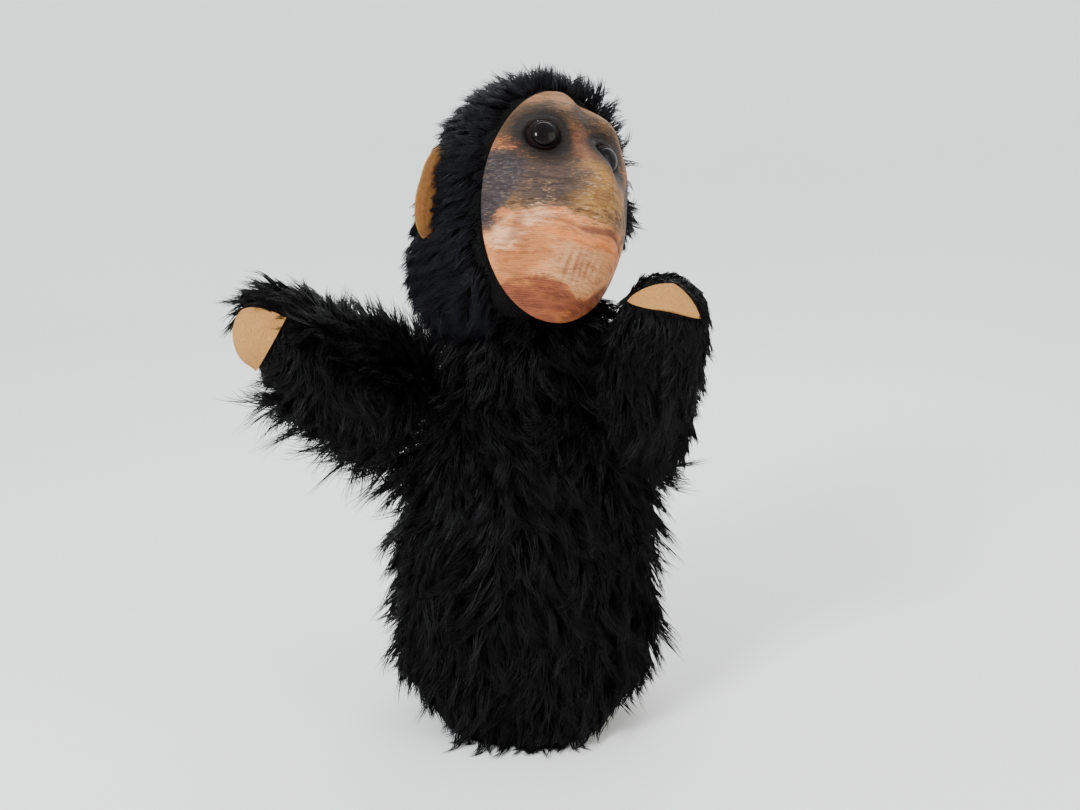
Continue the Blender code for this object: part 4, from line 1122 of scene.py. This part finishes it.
# ---------------------------------------------------------------- studio
def make_stage():
    """A pale floor that rises to a round wall, the same from every side."""
    steps = 96
    flat, corner, top = 1.1, 0.7, 2.4
    profile = [(r, 0.0) for r in (0.2, 0.5, 0.8, flat)]
    turns = np.linspace(0.1, 1.57, 14)
    profile += [(flat + corner * math.sin(a), corner - corner * math.cos(a)) for a in turns]
    profile.append((flat + corner, top))
    points = np.concatenate([circles(profile, steps), np.zeros((1, 3))])
    s = np.arange(steps)
    middle = np.stack([np.full(steps, len(points) - 1), s, (s + 1) % steps], -1)
    wall = ring_faces(len(profile), steps)[:, ::-1]
    g = Graph("pale_floor", 0.65, Specular_IOR_Level=0.2)
    pale = g.colour(g.mix(g.noise(g.place(), 3.0, 2.0), (0.86, 0.86, 0.85), (0.90, 0.90, 0.89)))
    mesh_of("floor", points, [wall, middle], pale)
    world = bpy.data.worlds.new("studio")
    bpy.context.scene.world = world
    world.use_nodes = True
    sky = world.node_tree.nodes["Background"].inputs
    sky["Color"].default_value = (0.90, 0.94, 1.0, 1.0)
    sky["Strength"].default_value = 1.45


LIGHTS = (  # name, place, size, power, colour
    ("key", (-0.6, -1.0, 0.9), 0.35, 26.0, (0.96, 0.98, 1.0)),
    ("fill", (1.1, -0.6, 0.6), 0.9, 7.0, (1.0, 0.92, 0.80)),
    ("back", (0.2, 0.9, 0.9), 0.9, 6.0, (1.0, 1.0, 1.0)),
)


def make_lights():
    """Soft area lights turned towards the puppet's middle."""
    middle = Vector((NECK.x, 0.0, 0.15))
    for name, place, size, power, colour in LIGHTS:
        light = bpy.data.lights.new(name, "AREA")
        light.size, light.energy, light.color = size, power, colour
        made = bpy.data.objects.new(name, light)
        made.location = place
        made.rotation_euler = (middle - Vector(place)).to_track_quat("-Z", "Y").to_euler()
        bpy.context.scene.collection.objects.link(made)


def make_camera():
    """The photograph's view: from a little above, straight on to the glove's front."""
    pitch, distance = math.radians(12.0), 0.66
    target = Vector((NECK.x + 0.0066, NECK.y, 0.1431))
    camera = bpy.data.cameras.new("camera")
    camera.sensor_width, camera.lens = 36.0, 50.03
    made = bpy.data.objects.new("camera", camera)
    made.location = target + Vector((0.0, -math.cos(pitch), math.sin(pitch))) * distance
    made.rotation_euler = (math.radians(90.0) - pitch, 0.0, 0.0)
    bpy.context.scene.collection.objects.link(made)
    bpy.context.scene.camera = made


# ---------------------------------------------------------------- the whole puppet
def dress(node, material):
    """A CAD node that stays gets its own finished material."""
    slots = frame["nodes"][node].data.materials
    slots.clear()
    slots.append(material)


def main():
    make_camera()
    make_stage()
    make_lights()

    body_backing = backing_material("body_backing", (0.0020, 0.0019, 0.0022))
    # The hood's backing and pile are lighter and bluer copies of the body's black fur: painted light and a
    # painted cool sheen on the head
    lit_hood_backing = backing_material("lit_hood_backing", (0.0024, 0.0024, 0.0028))
    body_fur = fur_material("body_hair", (0.0007, 0.0007, 0.0008), (0.0021, 0.0020, 0.0024), 0.38)
    hood_fur = fur_material("lit_hood_pile", (0.0012, 0.0012, 0.0016), (0.0058, 0.0058, 0.0086), 0.44)

    glove = glove_skin(body_backing)
    glove_hair(glove, body_fur)
    cut_spheres(glove, [(SHOULDER[s], HOLE_RADIUS) for s in SIDES])
    stand_for(glove, "glove", "body_fur",
              "body_front_panel", "body_back_panel", "left_armhole_binding", "right_armhole_binding")
    neck = neck_skin(body_backing)
    neck_hair(neck, body_fur)
    stand_for(neck, "neck", "body_fur", "neck_binding", "neck_sleeve")
    hood = hood_skin(lit_hood_backing)
    hood_hair(hood, hood_fur)
    stand_for(hood, "head", "hood_fur", "hood_left_panel", "hood_right_panel", "head_stuffing")
    for side in SIDES:
        arm = arm_skin(side, body_backing)
        arm_hair(side, body_fur)
        stand_for(arm, f"{side}_arm", "body_fur", f"{side}_sleeve_front", f"{side}_sleeve_back")

    face = make_face(face_material())
    stand_for(face, "head", "face_knit", "face", "face_padding")
    make_eyes()
    outer_felt = felt_material("ear_outer_felt", (0.40, 0.205, 0.060), (0.22, 0.100, 0.027))
    # The outer and inner felts are lit and shaded copies of one ochre felt; the inner felt's darker colour is
    # painted shade on the front of the ear
    shaded_inner_felt = felt_material("ear_inner_felt", (0.30, 0.130, 0.038), (0.16, 0.060, 0.018))
    palm_felt = felt_material("palm_felt", (0.56, 0.290, 0.092), (0.36, 0.165, 0.045))
    for side in SIDES:
        make_ear(side, outer_felt, shaded_inner_felt)
        make_palm(side, palm_felt)
    dress("hem_facing", weave_material("hem_tape", (0.030, 0.028, 0.028), 0.0008))
    dress("neck_drawstring", weave_material("string", (0.050, 0.050, 0.050), 0.0003))
    dress("finger_tube", card_material())
    washer = plastic_material("washer_plastic", (0.70, 0.70, 0.68), 0.35)
    for side in SIDES:
        dress(f"{side}_eye_washer", washer)


main()
